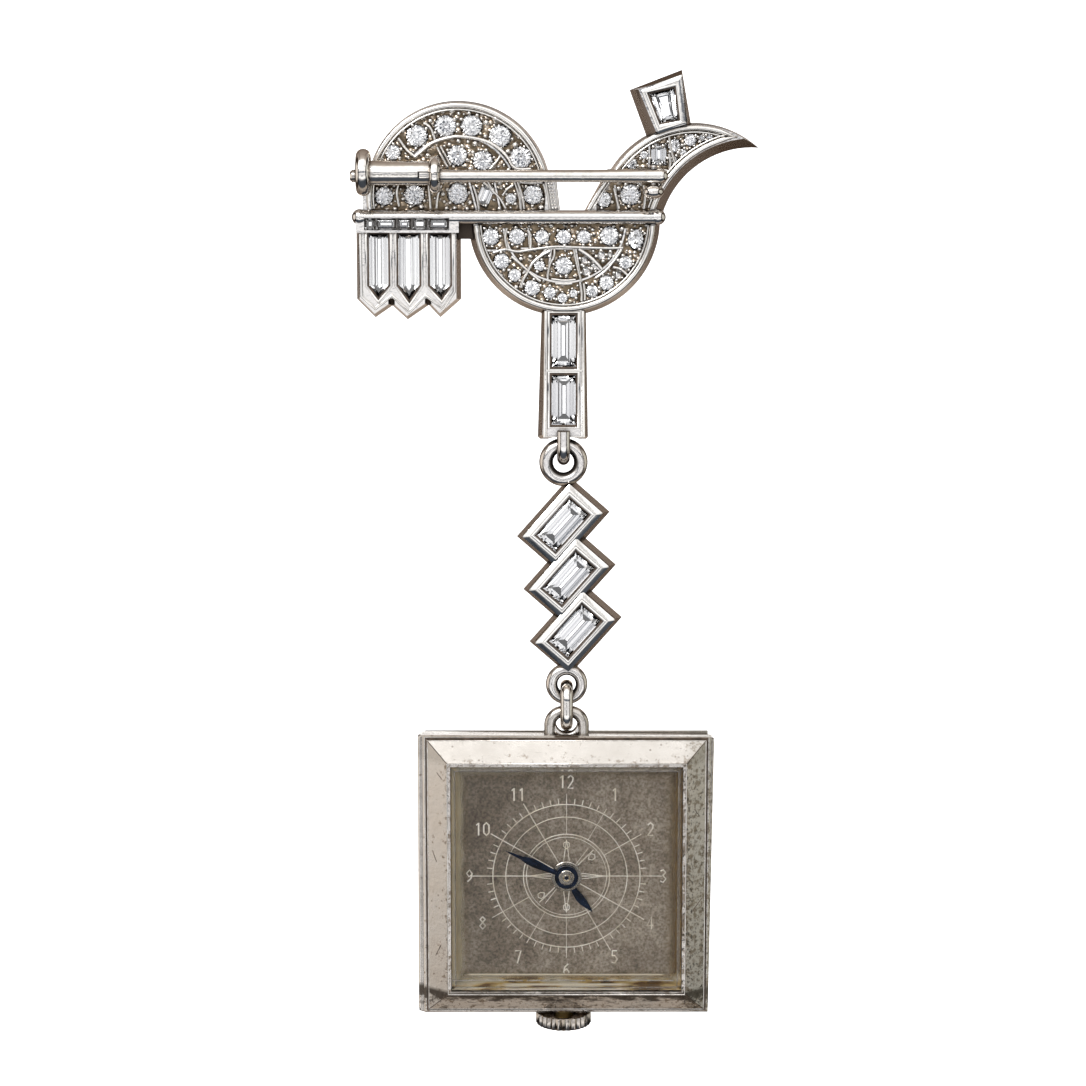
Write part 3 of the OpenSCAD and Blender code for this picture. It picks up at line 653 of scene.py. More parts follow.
def turned(profile, centre, sides, gaps=None):
    """Turned form along X. profile is (along, radius) pairs; centre gives its y and z.

    gaps(radius) returns the first and last angle of an open form, measured from the front.
    """
    rings = []
    for x, r in profile:
        a0, a1 = gaps(r) if gaps else (0.0, 2 * pi)
        angles = [a0 + (a1 - a0) * k / sides for k in range(sides + 1 if gaps else sides)]
        rings.append([(x, centre[0] - r * cos(a), centre[1] + r * sin(a)) for a in angles])
    if not gaps:
        return rings_mesh(rings)
    n = sides + 1
    verts, faces = rings_mesh(rings, closed=True)
    faces = [f for k, f in enumerate(faces) if k % n < sides]
    ends = [k * n for k in range(len(rings))]
    return verts, faces + [tuple(ends)[::-1], tuple(k + sides for k in ends)]


# stones
def brilliant(x, z, w, h, y, turn=0.0, tip=(0.0, 0.0)):
    """Old-cut round or oval stone, table to the front and tipped a little, girdle at depth y."""
    def at(r, deg, depth):
        a = radians(deg)
        px, pz = r * w / 2 * cos(a), r * h / 2 * sin(a)
        s, k = sin_cos(turn)
        dx, dz = px * k - pz * s, px * s + pz * k
        return (x + dx, y + depth * min(w, h) + dx * tip[0] + dz * tip[1], z + dz)
    v = [at(0.52, 45 * k + 22.5, -0.17) for k in range(8)]
    v += [at(0.76, 45 * k, -0.105) for k in range(8)]
    v += [at(1.0, 22.5 * k, -0.012) for k in range(16)]
    v += [at(1.0, 22.5 * k, 0.012) for k in range(16)]
    v += [at(0.30, 45 * k + 22.5, 0.30) for k in range(8)]
    v += [at(0.0, 0, 0.43)]
    f = [tuple(range(8))]
    for k in range(8):
        # star and bezel facets round the table, between girdle points g, g + 1 and h
        star, g, h = 8 + (k + 1) % 8, 16 + 2 * k, 16 + (2 * k + 2) % 16
        f += [(k, star, (k + 1) % 8), (8 + k, g, k), (8 + k, (k - 1) % 8, g), (k, g, g + 1), (k, g + 1, h),
              (k, h, star)]
    f += [(16 + k, 16 + (k + 1) % 16, 32 + (k + 1) % 16, 32 + k) for k in range(16)]
    for k in range(8):
        # pavilion facets below, down to the culet, point 56
        g, low = 32 + 2 * k, 48 + k
        f += [(g, g + 1, low), (g + 1, 32 + (2 * k + 2) % 16, low), (g, low, 56), (g, 56, 48 + (k - 1) % 8)]
    return v, f


def rose_cut(x, z, w, y):
    """Small stone with a table and facets above and a flat back."""
    v, f = brilliant(x, z, w, w, y, 20 * x)
    return [(p[0], min(p[1], y + 0.016), p[2]) for p in v], f


def step_cut(p, y, w, lie=None, ends=0.6, tip=0.0):
    """Step-cut stone on a convex outline: table, two crown steps, four pavilion steps and a keel.

    Where lie gives the long way of the stone in degrees, the facets at its two ends are steeper by the share ends.
    The stone may sit tipped sideways, tip deeper for each mm to the right.
    """
    middle = sum(q[0] for q in p) / len(p)
    levels = ((0.27, -0.15), (0.14, -0.09), (0.0, -0.012), (0.0, 0.012), (0.14, 0.18), (0.28, 0.312), (0.40, 0.404),
              (0.49, 0.462))
    rings = []
    for k, d in levels:
        ring = [Vector(q) for q in inset(p, k * w)]
        if lie is not None:
            way = Vector(polar((0, 0), 1, radians(lie)))
            whole, now = [Vector(q).dot(way) for q in p], [q.dot(way) for q in ring]
            low = min(whole) + (min(now) - min(whole)) * ends
            high = max(whole) + (max(now) - max(whole)) * ends
            scale = (high - low) / (max(now) - min(now))
            ring = [q + way * (low + (s - min(now)) * scale - s) for q, s in zip(ring, now)]
        rings.append([(q.x, y + d * w + tip * (q.x - middle), q.y) for q in ring])
    return rings_mesh(rings)


# round stones of the three clusters: x, z, width
ROUND = [(-11.34, 1.60, 1.10), (-9.64, 2.75, 1.55), (-7.66, 3.42, 1.55), (-5.81, 3.47, 1.55), (-3.77, 2.75, 1.60),
         (-2.37, 1.20, 1.60), (-1.47, -1.37, 1.42), (-6.83, 1.36, 1.45), (-5.00, 1.01, 1.45), (-6.80, -1.30, 1.50),
         (-3.03, -1.65, 0.80), (-12.02, -1.47, 1.34), (-9.88, -1.42, 1.50)]
LOWER = [(-4.47, -4.33, 1.25), (-2.62, -4.30, 1.20), (-0.84, -4.33, 1.05), (0.69, -4.33, 1.10), (2.13, -4.33, 1.00),
         (3.96, -4.27, 1.40), (-3.72, -6.05, 1.15), (-2.78, -7.04, 0.95), (-1.55, -7.94, 1.15), (-0.28, -8.30, 0.90),
         (0.62, -8.66, 0.75), (1.40, -8.33, 0.62), (2.72, -8.18, 0.90), (3.73, -7.58, 1.10), (5.08, -6.16, 1.00),
         (0.69, -6.40, 1.30), (-1.01, -6.37, 0.80)]
# small flat-backed stones in the three-cornered fields of the lower cluster: x, z, width
FIELDS = [(2.17, -6.00, 0.58), (2.32, -6.76, 0.70), (2.86, -6.44, 0.56), (3.40, -5.66, 0.64), (3.98, -5.62, 0.42),
          (4.56, -7.05, 0.56)]
CURVED = [(3.55, -1.72, 1.10), (5.41, -1.37, 1.50), (5.50, 0.80, 0.75), (6.36, 1.44, 0.60), (8.50, 2.08, 0.95),
          (9.62, 2.46, 0.85)]
SLANT = rect((-4.87, -1.42), 0.90, 1.60, -22)
OVAL = (5.80, -4.50, 1.22, 1.46)
# small square stones of the crescent: x, z, width, turn
SQUARES = [(10.42, 2.60, 0.42, 0), (10.96, 2.66, 0.42, 0), (9.10, 1.60, 0.46, 30), (8.54, 1.08, 0.46, 30)]
# stones of the channel above the arrows: first x, last x, and the width their depth goes with
CHANNEL = ((-13.35, -12.66, 0.5), (-12.56, -11.16, 0.66), (-11.04, -10.10, 0.66), (-9.98, -8.98, 0.5),
           (-8.86, -7.44, 0.66))
ARROW_TOP = -4.11
ARROWS = [[(a, s), (px, pz), (b, s), (b, ARROW_TOP), (a, ARROW_TOP)]
          for a, b, s, px, pz in ((-13.11, -11.73, -7.72, -12.46, -8.60), (-11.03, -9.53, -7.72, -10.26, -8.80),
                                  (-8.80, -7.35, -7.72, -7.98, -8.62))]
TAPER = [(7.49, 3.66), (8.74, 3.89), (8.44, 6.10), (6.66, 5.68)]
BAR_STONES = [rect((0.705, (lo + hi) / 2), 1.75, hi - lo) for lo, hi in ((-13.55, -9.84), (-17.71, -14.12))]
LEAN = -41.4
LOZENGES = ((0.64, -24.96), (1.10, -28.84), (1.55, -32.72))
LOZENGE_STONES = [rect(c, 1.85, 3.62, LEAN) for c in LOZENGES]
# depth of the stones' girdles in the frame
GIRDLE = 1.83


def set_stones():
    rng = random.Random(4)

    def rounds(rows):
        return [brilliant(x, z, d, d, GIRDLE, rng.uniform(0, 45), (rng.uniform(-0.08, 0.08), rng.uniform(-0.08, 0.08)))
                for x, z, d in rows]

    def stones(name, parts, replaced, body="brooch"):
        piece(name, parts, diamond, body, [replaced])
    stones("round_cluster_stones", rounds(ROUND) + [step_cut(SLANT, GIRDLE, 0.81)], "round_stones")
    small = [rose_cut(x, z, w, 1.79) for x, z, w in FIELDS]
    stones("fan_cluster_stones", rounds(LOWER) + [brilliant(*OVAL, GIRDLE)] + small, "fan_stones")
    # bright foil behind each flat-backed stone, and the metal floors that close the three-cornered seats
    foils = [rings_mesh([circle((x, z), w * 0.47, y, 16) for y in (1.815, 1.83)]) for x, z, w in FIELDS]
    piece("stone_foils", foils, silvered)
    floors = []
    for x, z, r, turn in ((4.58, -7.08, 0.42, 30), (2.36, -6.30, 0.62, 0), (3.48, -5.72, 0.48, 60)):
        corners = [polar((x, z), r, radians(turn + a)) for a in (60, 180, 300)]
        floors.append(rings_mesh([level(corners, PLATE - 0.01), level(corners, PLATE + 0.15)]))
    piece("fan_floors", floors, platinum)
    squares = [step_cut(rect((x, z), w, w, t), GIRDLE, 0.9 * w) for x, z, w, t in SQUARES]
    stones("crescent_cluster_stones", rounds(CURVED) + [step_cut(rect((7.40, 1.46), 1.05, 1.50), GIRDLE, 0.945)]
           + squares, "crescent_stones")
    stones("channel_cluster_stones", [step_cut(rect(((a + b) / 2, -3.40), b - a, 0.76), 1.3, w)
                                      for a, b, w in CHANNEL], "channel_stones")
    for letter, outline, tip in zip("abc", ARROWS, (0.07, -0.10, 0.05)):
        stones("arrow_baguette_" + letter, [step_cut(outline, GIRDLE, 1.25, 90, 0.6, tip)], "arrow_stone_" + letter)
    stones("tapered_baguette", [step_cut(TAPER, 1.3, 1.1, 100, 0.8)], "taper_stone")
    for letter, outline, tip in zip("ab", BAR_STONES, (-0.05, 0.06)):
        stones("bar_baguette_" + letter, [step_cut(outline, GIRDLE, 1.6, tip=tip)], "bar_stone_" + letter)
    for letter, outline in zip("abc", LOZENGE_STONES):
        stones("lozenge_baguette_" + letter, [step_cut(outline, GIRDLE, 1.7)], "link_stone_" + letter, "lozenge_link")


# raised wires, radius and points x, z: of the upper round cluster,
WIRES = [
    (0.11, [(-9.79, 1.29), (-9.27, 1.73), (-8.75, 2.17), (-8.08, 2.46), (-7.34, 2.65), (-6.74, 2.72), (-6.0, 2.65),
            (-5.26, 2.52), (-4.52, 2.28), (-3.93, 1.91), (-3.49, 1.51), (-3.15, 1.07), (-2.97, 0.7), (-2.67, 0.47),
            (-2.23, 0.41), (-1.63, 0.44)]),
    (0.09, [(-10.97, 2.61), (-10.38, 1.8), (-9.79, 1.29)]),
    (0.08, [(-9.18, 3.67), (-8.81, 3.45), (-8.59, 3.12), (-8.48, 2.76), (-8.37, 2.46)]),
    (0.08, [(-8.24, 1.98), (-7.75, 0.99), (-7.5, 0.6)]),
    (0.07, [(-8.0, 2.05), (-7.55, 1.2), (-7.3, 0.7)]),
    (0.08, [(-3.78, 1.36), (-4.08, 0.92), (-4.5, 0.45)]),
    (0.08, [(-4.64, -0.48), (-4.24, -1.14), (-3.79, -1.66), (-3.42, -2.32)]),
    (0.07, [(-4.98, -0.5), (-4.5, -0.9), (-4.2, -1.3)]),
    (0.08, [(-5.72, -0.7), (-5.45, -1.5), (-5.3, -2.4)]),
    (0.08, [(-2.56, -0.48), (-2.38, -0.99), (-2.2, -1.66), (-2.1, -2.35)]),
    (0.07, [(-2.78, -0.48), (-2.62, -0.92), (-2.42, -1.66), (-2.36, -2.35)]),
    (0.08, [(-2.9, -0.7), (-3.34, -1.0), (-3.62, -1.4)]),
    (0.09, [(-2.4, -0.47), (-1.6, -0.52), (-0.82, -0.5)]),
    (0.09, [(-0.72, -0.59), (-0.56, -1.21), (-0.42, -2.3)]),
    (0.08, [(-8.84, -0.6), (-8.8, -1.21), (-8.72, -2.32)]),
    (0.08, [(-7.95, -0.7), (-8.2, -1.4), (-8.3, -2.3)]),
    (0.08, [(-11.0, -0.7), (-11.1, -1.2), (-10.95, -2.17)]),
    # of the lower half-round cluster,
    (0.09, [(-3.3, -5.2), (-2.58, -5.36), (-1.45, -5.2), (0.0, -5.02), (1.17, -5.05), (2.53, -5.09), (3.88, -5.12),
            (4.9, -5.1)]),
    (0.08, [(-4.3, -5.45), (-3.71, -5.25), (-3.3, -5.2)]),
    (0.11, [(-0.27, -5.3), (-0.91, -5.66), (-1.54, -6.2), (-1.9, -6.87), (-2.2, -7.4), (-2.35, -7.9)]),
    (0.08, [(0.04, -5.15), (0.0, -5.7), (-0.3, -6.3), (-0.47, -7.18)]),
    (0.08, [(1.42, -5.2), (1.55, -5.88), (1.72, -6.6), (1.95, -7.5)]),
    (0.12, [(1.76, -5.2), (2.39, -5.61), (3.0, -6.15), (3.4, -6.6)]),
    (0.09, [(4.2, -6.46), (4.7, -6.6), (5.2, -7.0)]),
    (0.08, [(1.9, -7.68), (1.98, -8.31), (1.95, -8.86)]),
    (0.08, [(2.12, -7.6), (2.2, -8.31), (2.2, -8.8)]),
    (0.10, [(-1.85, -3.81), (-1.67, -4.26), (-1.67, -5.16)]),
    (0.08, [(-0.18, -7.3), (0.72, -7.4), (1.54, -7.35)]),
    (0.08, [(0.1, -7.6), (0.72, -7.66), (1.3, -7.62)]),
    (0.09, [(-3.34, -3.7), (-3.45, -4.35), (-3.3, -5.11)]),
    (0.09, [(-3.02, -5.7), (-2.3, -6.3), (-1.6, -6.95), (-0.95, -7.45)]),
    (0.09, [(3.0, -7.2), (3.71, -6.66), (4.34, -5.9), (4.8, -5.2)]),
    # and of the crescent
    (0.09, [(4.55, -0.5), (5.3, -0.35), (6.2, -0.6)]),
    (0.09, [(4.25, -0.9), (4.45, -1.7), (4.6, -2.35)]),
    (0.09, [(6.35, -0.7), (6.45, -1.5), (6.35, -2.35)]),
    (0.09, [(8.15, 0.35), (8.2, 1.0), (8.1, 1.5)]),
    (0.08, [(6.85, 0.45), (7.5, 0.42), (8.1, 0.3)]),
    (0.08, [(8.1, 2.7), (8.3, 1.6), (8.6, 0.6)]),
]


def off(p, q):
    """Distance between two points of the jewel's plane."""
    return hypot(p[0] - q[0], p[1] - q[1])


def circle_meet():
    """Upper tip of the crescent: where its outer and inner rims cross, as angles on both."""
    a, b, d = MOON_R - 0.14, BITE_R + 0.14, off(MOON, BITE)
    along = atan2(BITE[1] - MOON[1], BITE[0] - MOON[0])
    first = degrees(along + acos((a * a + d * d - b * b) / (2 * a * d)))
    second = degrees(along + pi - acos((b * b + d * d - a * a) / (2 * b * d)))
    return first, second


def set_rims_and_wires():
    """Bright rims of the clusters with a thin second line inside, and the raised wires on their plates."""
    top, inner = circle_meet()
    rim_y, wire_y = 1.62, 1.71
    parts = []
    for r, d in ((0.20, 0.20), (0.065, 0.49)):
        for c, far, a0, a1 in ((ROUNDEL, ROUNDEL_R - d, 189.0, 9.0), (FAN, FAN_R - d, 183.0, 357.0)):
            parts.append(wire(arc(c, far, a0, a1, rim_y, 90), r, 12, flat=0.7))
        for c, far, a0, a1 in ((MOON, MOON_R - d, 148.5, top + 6.0 * d - 1.2),
                               (BITE, BITE_R + d, 162.0, inner - 6.0 * d + 1.2)):
            parts.append(wire(arc(c, far, a0, a1, rim_y, 60), r * 0.9, 12, flat=0.7, fade=8))
        cheek = [(2.25 + d, 1.61, -2.4), (3.05 + d, 1.61, -1.0), (3.88 + d, 1.61, 0.2)]
        parts.append(wire(cheek, r * 0.8, 12, flat=0.7))
    for x0, x1 in ((-0.62, -0.26), (0.06, 0.36)):
        parts.append(wire([(x0, FRONT, 0.0), (x0 + (x1 - x0) * 0.45, FRONT, -1.1), (x1, FRONT, -2.4)], 0.08, 8))
    parts += [wire(eased(points, wire_y), r * 1.25, 8) for r, points in WIRES]
    piece("cluster_rims_and_wires", parts, bright_platinum, smooth=50)


def box_frame(stone, outer, front, back, gap=0.10, bend=0.12, turn=0.65, drop=0.12):
    """Raised frame round a step-cut stone: a rounded ridge between the stone and the edge, then the wall."""
    inner = inset(stone, -gap)

    def between(share):
        return [tuple(Vector(a) * (1 - share) + Vector(b) * share) for a, b in zip(inner, outer)]
    lip, edge = rounded(inner, 0.02), rounded(outer, bend)
    return frame_ring((lip, front + 0.30), (lip, front + 0.07), (rounded(between(0.3), 0.03), front),
                      (rounded(between(turn), 0.05), front + 0.015), (edge, front + drop), (edge, back))


CHEVRONS = [(-13.72, -4.1), (-13.66, -8.50), (-12.68, -9.38), (-11.5, -8.47), (-10.28, -9.62), (-9.12, -8.45),
            (-7.86, -9.40), (-7.06, -8.17), (-7.06, -4.1)]


def spread(share, down):
    """The chevrons moved a little outwards at the panel's sides, and down."""
    sideways = (-0.06, -0.06, -0.02, 0, 0, 0, 0.02, 0.06, 0.06)
    return [(x + dx * share, z + down) for (x, z), dx in zip(CHEVRONS, sideways)]


def setting_edges():
    """Raised frames of the box settings and the bright arris round each long stone."""
    face = [(7.29, 2.90), (9.38, 3.62), (8.96, 7.02), (6.0, 5.94)]
    bar = [(-0.56, -9.55), (-0.62, -18.55), (2.10, -18.55), (2.06, -9.55)]
    parts = [box_frame(TAPER, face, 0.93, 1.6), wire(level(bar, FRONT), 0.11, 8, flat=0.7),
             wire([(-0.55, FRONT, -13.83), (2.05, FRONT, -13.83)], 0.12, 8, flat=0.7)]
    parts += [wire(level(inset(p, -0.19), FRONT), 0.08, 8, closed=True) for p in BAR_STONES + ARROWS]
    parts.append(wire(level(CHEVRONS, FRONT), 0.10, 8, flat=0.8))
    # the panel's wall below and at the sides, leaning out a little towards the back
    foot = [(-13.98, -4.1), (-13.94, -8.62), (-12.72, -9.74), (-11.5, -9.10), (-10.30, -9.98), (-9.10, -9.08),
            (-7.82, -9.76), (-6.80, -8.30), (-6.80, -4.1)]
    near = spread(1.0, 0.03)
    wall = [level(near, 1.63), level(foot, 3.1), level([(x, z + 0.1) for x, z in foot], 3.18),
            level([(x, z + 0.25) for x, z in near], 1.75)]
    wall = rings_mesh([[row[k] for row in wall] for k in range(len(near))])
    piece("panel_wall", [wall], warm_wall, smooth=20)
    # painted shade: dark wedges in the two valleys between the arrows and a dark line along the arris of the panel
    painted_shade = [wire(level(spread(1.6, -0.05), 1.64), 0.045, 6)]
    for x in (-11.5, -9.12):
        painted_shade.append(([(x - 0.3, 1.72, -8.55), (x + 0.3, 1.72, -8.55), (x - 0.34, 2.5, -9.2), (x + 0.34, 2.5, -9.2),
                      (x - 0.34, 2.7, -8.6), (x + 0.34, 2.7, -8.6)],
                     [(0, 1, 3, 2), (2, 3, 5, 4), (0, 4, 5, 1), (0, 2, 4), (1, 5, 3)]))
    piece("valley_shade", painted_shade, groove_dirt_and_shade)
    piece("setting_edges", parts, bright_platinum, smooth=40)
    frames = [box_frame(stone, rect(c, 3.22, 5.12, LEAN), 1.50 - 0.08 * k, 2.35, 0.13, 0.10, 0.42, 0.20)
              for k, (c, stone) in enumerate(zip(LOZENGES, LOZENGE_STONES))]
    piece("lozenge_frames", frames, bright_platinum, "lozenge_link", smooth=40)


def seat_lines():
    """Dark line of old grime between each long stone and the metal that holds it."""
    def line(p, gap, front, middle, back):
        return band(inset(p, -gap), inset(p, 0.01), front, middle, back)
    lines = [line(p, 0.13, 1.585, 1.60, 1.62) for p in ARROWS + BAR_STONES] + [line(TAPER, 0.11, 1.07, 1.10, 1.15)]
    piece("seat_dirt", lines, groove_dirt_and_shade)
    lines = [line(p, 0.14, 1.66, 1.68, 1.7) for p in LOZENGE_STONES]
    piece("lozenge_seat_dirt", lines, groove_dirt_and_shade, "lozenge_link")


def in_cluster(x, z, margin):
    """True inside one of the three set-back plates, margin mm from its rim."""
    p = (x, z)
    if z < -3.5:
        return off(p, FAN) < FAN_R - 0.36 - margin
    roundel = off(p, ROUNDEL) < ROUNDEL_R - 0.36 - margin and x < -0.8
    moon = off(p, MOON) < MOON_R - 0.30 - margin and off(p, BITE) > BITE_R + 0.38 + margin
    return z > -2.35 and (roundel or moon)


def to_segment(p, a, b):
    """Distance from p to the line from a to b."""
    (ax, az), (bx, bz) = a, b
    length = (bx - ax) ** 2 + (bz - az) ** 2
    s = max(0.0, min(1.0, ((p[0] - ax) * (bx - ax) + (p[1] - az) * (bz - az)) / length)) if length else 0.0
    return hypot(p[0] - ax - s * (bx - ax), p[1] - az - s * (bz - az))


def set_grains():
    """Grains raised from the metal: four to six that hold each stone, and many small ones that fill the plates."""
    rng = random.Random(11)
    parts = []
    stones = [(x, z, d / 2) for x, z, d in ROUND + LOWER + FIELDS + CURVED]
    stones += [(-4.87, -1.42, 0.65), (5.85, -4.50, 0.68), (7.40, 1.46, 0.62)]
    stones += [(x, z, w * 0.55) for x, z, w, _ in SQUARES]
    taken = []
    for x, z, r in stones:
        count = 4 if r < 0.45 else rng.choice((4, 5, 6))
        start = rng.uniform(0, 360)
        for k in range(count):
            a = radians(start + 360 * k / count + rng.uniform(-10, 10))
            size = rng.uniform(0.13, 0.19)
            p = polar((x, z), r + 0.06, a)
            parts.append(bead((p[0], PLATE - 0.03, p[1]), size, 1.25))
            taken.append((*p, size))
    lines = [(a, b) for r, points in WIRES for a, b in zip(points, points[1:])]
    # many tries at random places, with smaller grains as the plates fill up
    for k in range(9000):
        x, z = rng.uniform(-13.2, 14.0), rng.uniform(-9.6, 5.0)
        size = (0.25, 0.21, 0.16, 0.12)[min(3, k // 1500)] * rng.uniform(0.85, 1.1)
        p = (x, z)
        if (in_cluster(x, z, 0.12) and all(off(p, s) >= s[2] + size * 0.6 for s in stones)
                and all(off(p, q) >= (q[2] + size) * 1.12 for q in taken)
                and all(to_segment(p, a, b) >= size + 0.07 for a, b in lines)):
            parts.append(bead((x, PLATE + 0.01, z), size, 1.1))
            taken.append((x, z, size))
    # two rows of grains along the cheek of the upper cluster
    for k in range(9):
        s = k / 8
        for dx in (0.0, 0.20):
            parts.append(bead((-0.40 + 0.33 * s + dx, FRONT, -0.35 - 1.95 * s), 0.10, 0.8))
    piece("setting_grains", parts, bright_platinum, smooth=60)


def barrel(x0, half, bore, low, rise):
    """Rounded profile along X, wider in the middle, closed at the bore."""
    out = [(x0 - half, bore)]
    for k in range(9):
        s = -cos(pi * k / 8)
        out.append((x0 + half * s, low + rise * sqrt(max(0.0, 1 - s * s))))
    return out + [(x0 + half, bore)]


def catch_and_hinge():
    """Rounded flanges of the catch, the ridged knob and the bead of the hinge."""
    left = turned(barrel(-13.345, 0.50, 0.62, 1.25, 0.40), (0.0, 0.25), 56)

    def slot(half):
        def gaps(r):
            low, high = asin(min(0.99, (half - 0.1) / r)), asin(min(0.99, (half + 0.1) / r))
            return low, 2 * pi - high
        return gaps
    right = turned(barrel(-8.345, 0.40, 0.50, 1.02, 0.31), (0.0, 0.1), 48, slot(0.30))
    tube = turned([(-13.0, 0.62), (-13.0, 0.86), (-9.52, 0.86), (-9.52, 0.62)], (0.0, 0.2), 56)
    mouth = turned([(-9.53, 0.62), (-9.53, 0.86), (-8.6, 0.86), (-8.6, 0.62)], (0.0, 0.2), 48, slot(0.24))
    piece("catch_flanges", [left, right, tube, mouth], white_gold, smooth=40)

    def key(r):
        return -asin(min(0.99, 0.35 / r)), asin(min(0.99, 0.15 / r))
    blade = turned(barrel(-8.345, 0.37, 0.45, 1.02, 0.30), (0.0, 0.1), 8, key)
    tongue = turned([(-9.40, 0.55), (-9.40, 0.79), (-8.66, 0.79), (-8.66, 0.55)], (0.0, 0.1), 8, key)
    piece("pin_key", [blade, tongue], white_gold, "pin", smooth=40)
    ridges = [turned([(x - 0.045, 0.40), (x - 0.02, 0.46), (x + 0.02, 0.46), (x + 0.045, 0.40)], (0.0, 0.0), 32)
              for x in (-14.10, -13.97, -13.84)]
    piece("knob_ridges", ridges, white_gold, "sleeve", smooth=40)
    rings = []
    for k in range(1, 12):
        q = pi * (k / 12 - 0.5)
        rings.append([(6.95 + 0.76 * cos(q) * cos(t), 0.70 * cos(q) * sin(t),
                       -1.09 + 0.52 * sin(q)) for t in turns(32)])
    piece("hinge_bead", [rings_mesh(rings)], white_gold, smooth=60)


def leaf(length, wide, turn, bow, ya, yb):
    """Hand, pointing up, turned clockwise; (share of length, half width) rows and a sideways bow."""
    sides = [(bow * sin(pi * s), w, s * length) for s, w in wide]
    outline = [(mid + w, z) for mid, w, z in sides] + [(0.0, length)] + [(mid - w, z) for mid, w, z in sides[::-1]]
    s, c = sin_cos(turn)

    def spun(share):
        return [(WATCH[0] + x * share * c + z * s, WATCH[1] - x * share * s + z * c) for x, z in outline]
    return rings_mesh([level(spun(1.0), yb), level(spun(1.0), ya + 0.03), level(spun(0.7), ya)])


def hub(inner, outer, ya, yb):
    """Flat ring round the watch's centre, from depth ya in front to yb."""
    profile = [(inner, yb), (outer, yb), (outer, ya + 0.03), (outer - 0.04, ya), (inner + 0.02, ya)]
    return rings_mesh([circle(WATCH, r, y, 48) for r, y in profile], closed=True)


def set_hands():
    """Two dark blued hands, the minute hand swelling to a step before its thin tip, on a silvered hub."""
    minute = [(0.12, 0.13), (0.25, 0.18), (0.42, 0.27), (0.54, 0.31), (0.64, 0.26), (0.70, 0.19), (0.72, 0.13),
              (0.9, 0.08)]
    parts = [leaf(4.9, minute, 294, 0.0, 1.15, 1.27), hub(0.31, 0.86, 1.12, 1.28)]
    piece("minute_leaf", parts, blue_steel, "minute", ["minute_hand"], smooth=35)
    parts = [hub(0.24, 0.56, 1.02, 1.12), hub(0.02, 0.23, 1.05, 1.12)]
    piece("hub_cap", parts, silvered, "minute", smooth=35)
    piece("hub_dimple", [hub(0.005, 0.13, 0.99, 1.06)], blue_steel, "minute")
    hour = [(0.2, 0.18), (0.4, 0.24), (0.58, 0.31), (0.7, 0.28), (0.86, 0.16)]
    parts = [leaf(3.3, hour, 144.5, 0.16, 1.43, 1.56)]
    piece("hour_leaf", parts, blue_steel, "hour", ["hour_hand"], smooth=35)
    piece("hour_collet", [hub(0.31, 1.12, 1.40, 1.58)], silvered, "hour", smooth=35)


# plain figures, one stroke each, in a box 0.6 wide and 1 high
FIGURES = {
    "0": [(0.5, 0.2), (0.5, 0.8), (0.3, 1.0), (0.1, 0.8), (0.1, 0.2), (0.3, 0.0), (0.5, 0.2)],
    "1": [(0.15, 0.8), (0.32, 1.0), (0.32, 0.0)],
    "2": [(0.1, 0.82), (0.3, 1.0), (0.5, 0.82), (0.46, 0.55), (0.1, 0.0), (0.52, 0.0)],
    "3": [(0.1, 0.9), (0.3, 1.0), (0.5, 0.78), (0.28, 0.55), (0.52, 0.28), (0.3, 0.0), (0.08, 0.12)],
    "4": [(0.42, 0.0), (0.42, 1.0), (0.08, 0.3), (0.55, 0.3)],
    "5": [(0.5, 1.0), (0.14, 1.0), (0.12, 0.58), (0.32, 0.62), (0.52, 0.34), (0.34, 0.02), (0.08, 0.08)],
    "6": [(0.46, 0.95), (0.2, 0.7), (0.1, 0.3), (0.3, 0.0), (0.52, 0.28), (0.34, 0.55), (0.12, 0.38)],
    "7": [(0.08, 1.0), (0.52, 1.0), (0.24, 0.0)],
    "8": [(0.3, 0.54), (0.5, 0.78), (0.3, 1.0), (0.1, 0.78), (0.3, 0.54), (0.52, 0.26), (0.3, 0.0), (0.08, 0.26),
          (0.3, 0.54)],
    "9": [(0.14, 0.05), (0.4, 0.3), (0.5, 0.7), (0.3, 1.0), (0.08, 0.72), (0.26, 0.45), (0.48, 0.62)],
}


def ribbon(points, w, y):
    """Low ridge of width w along points of the dial, a hair proud of it."""
    rings = []
    for i, p in enumerate(points):
        a, b = points[max(0, i - 1)], points[min(len(points) - 1, i + 1)]
        d = Vector((b[0] - a[0], b[1] - a[1])).normalized() * w / 2
        rings.append([(p[0] - d.y, y, p[1] + d.x), (p[0], y - 0.16 * w, p[1]), (p[0] + d.y, y, p[1] - d.x),
                      (p[0] + d.y, y + 0.01, p[1] - d.x), (p[0] - d.y, y + 0.01, p[1] + d.x)])
    return rings_mesh(rings)


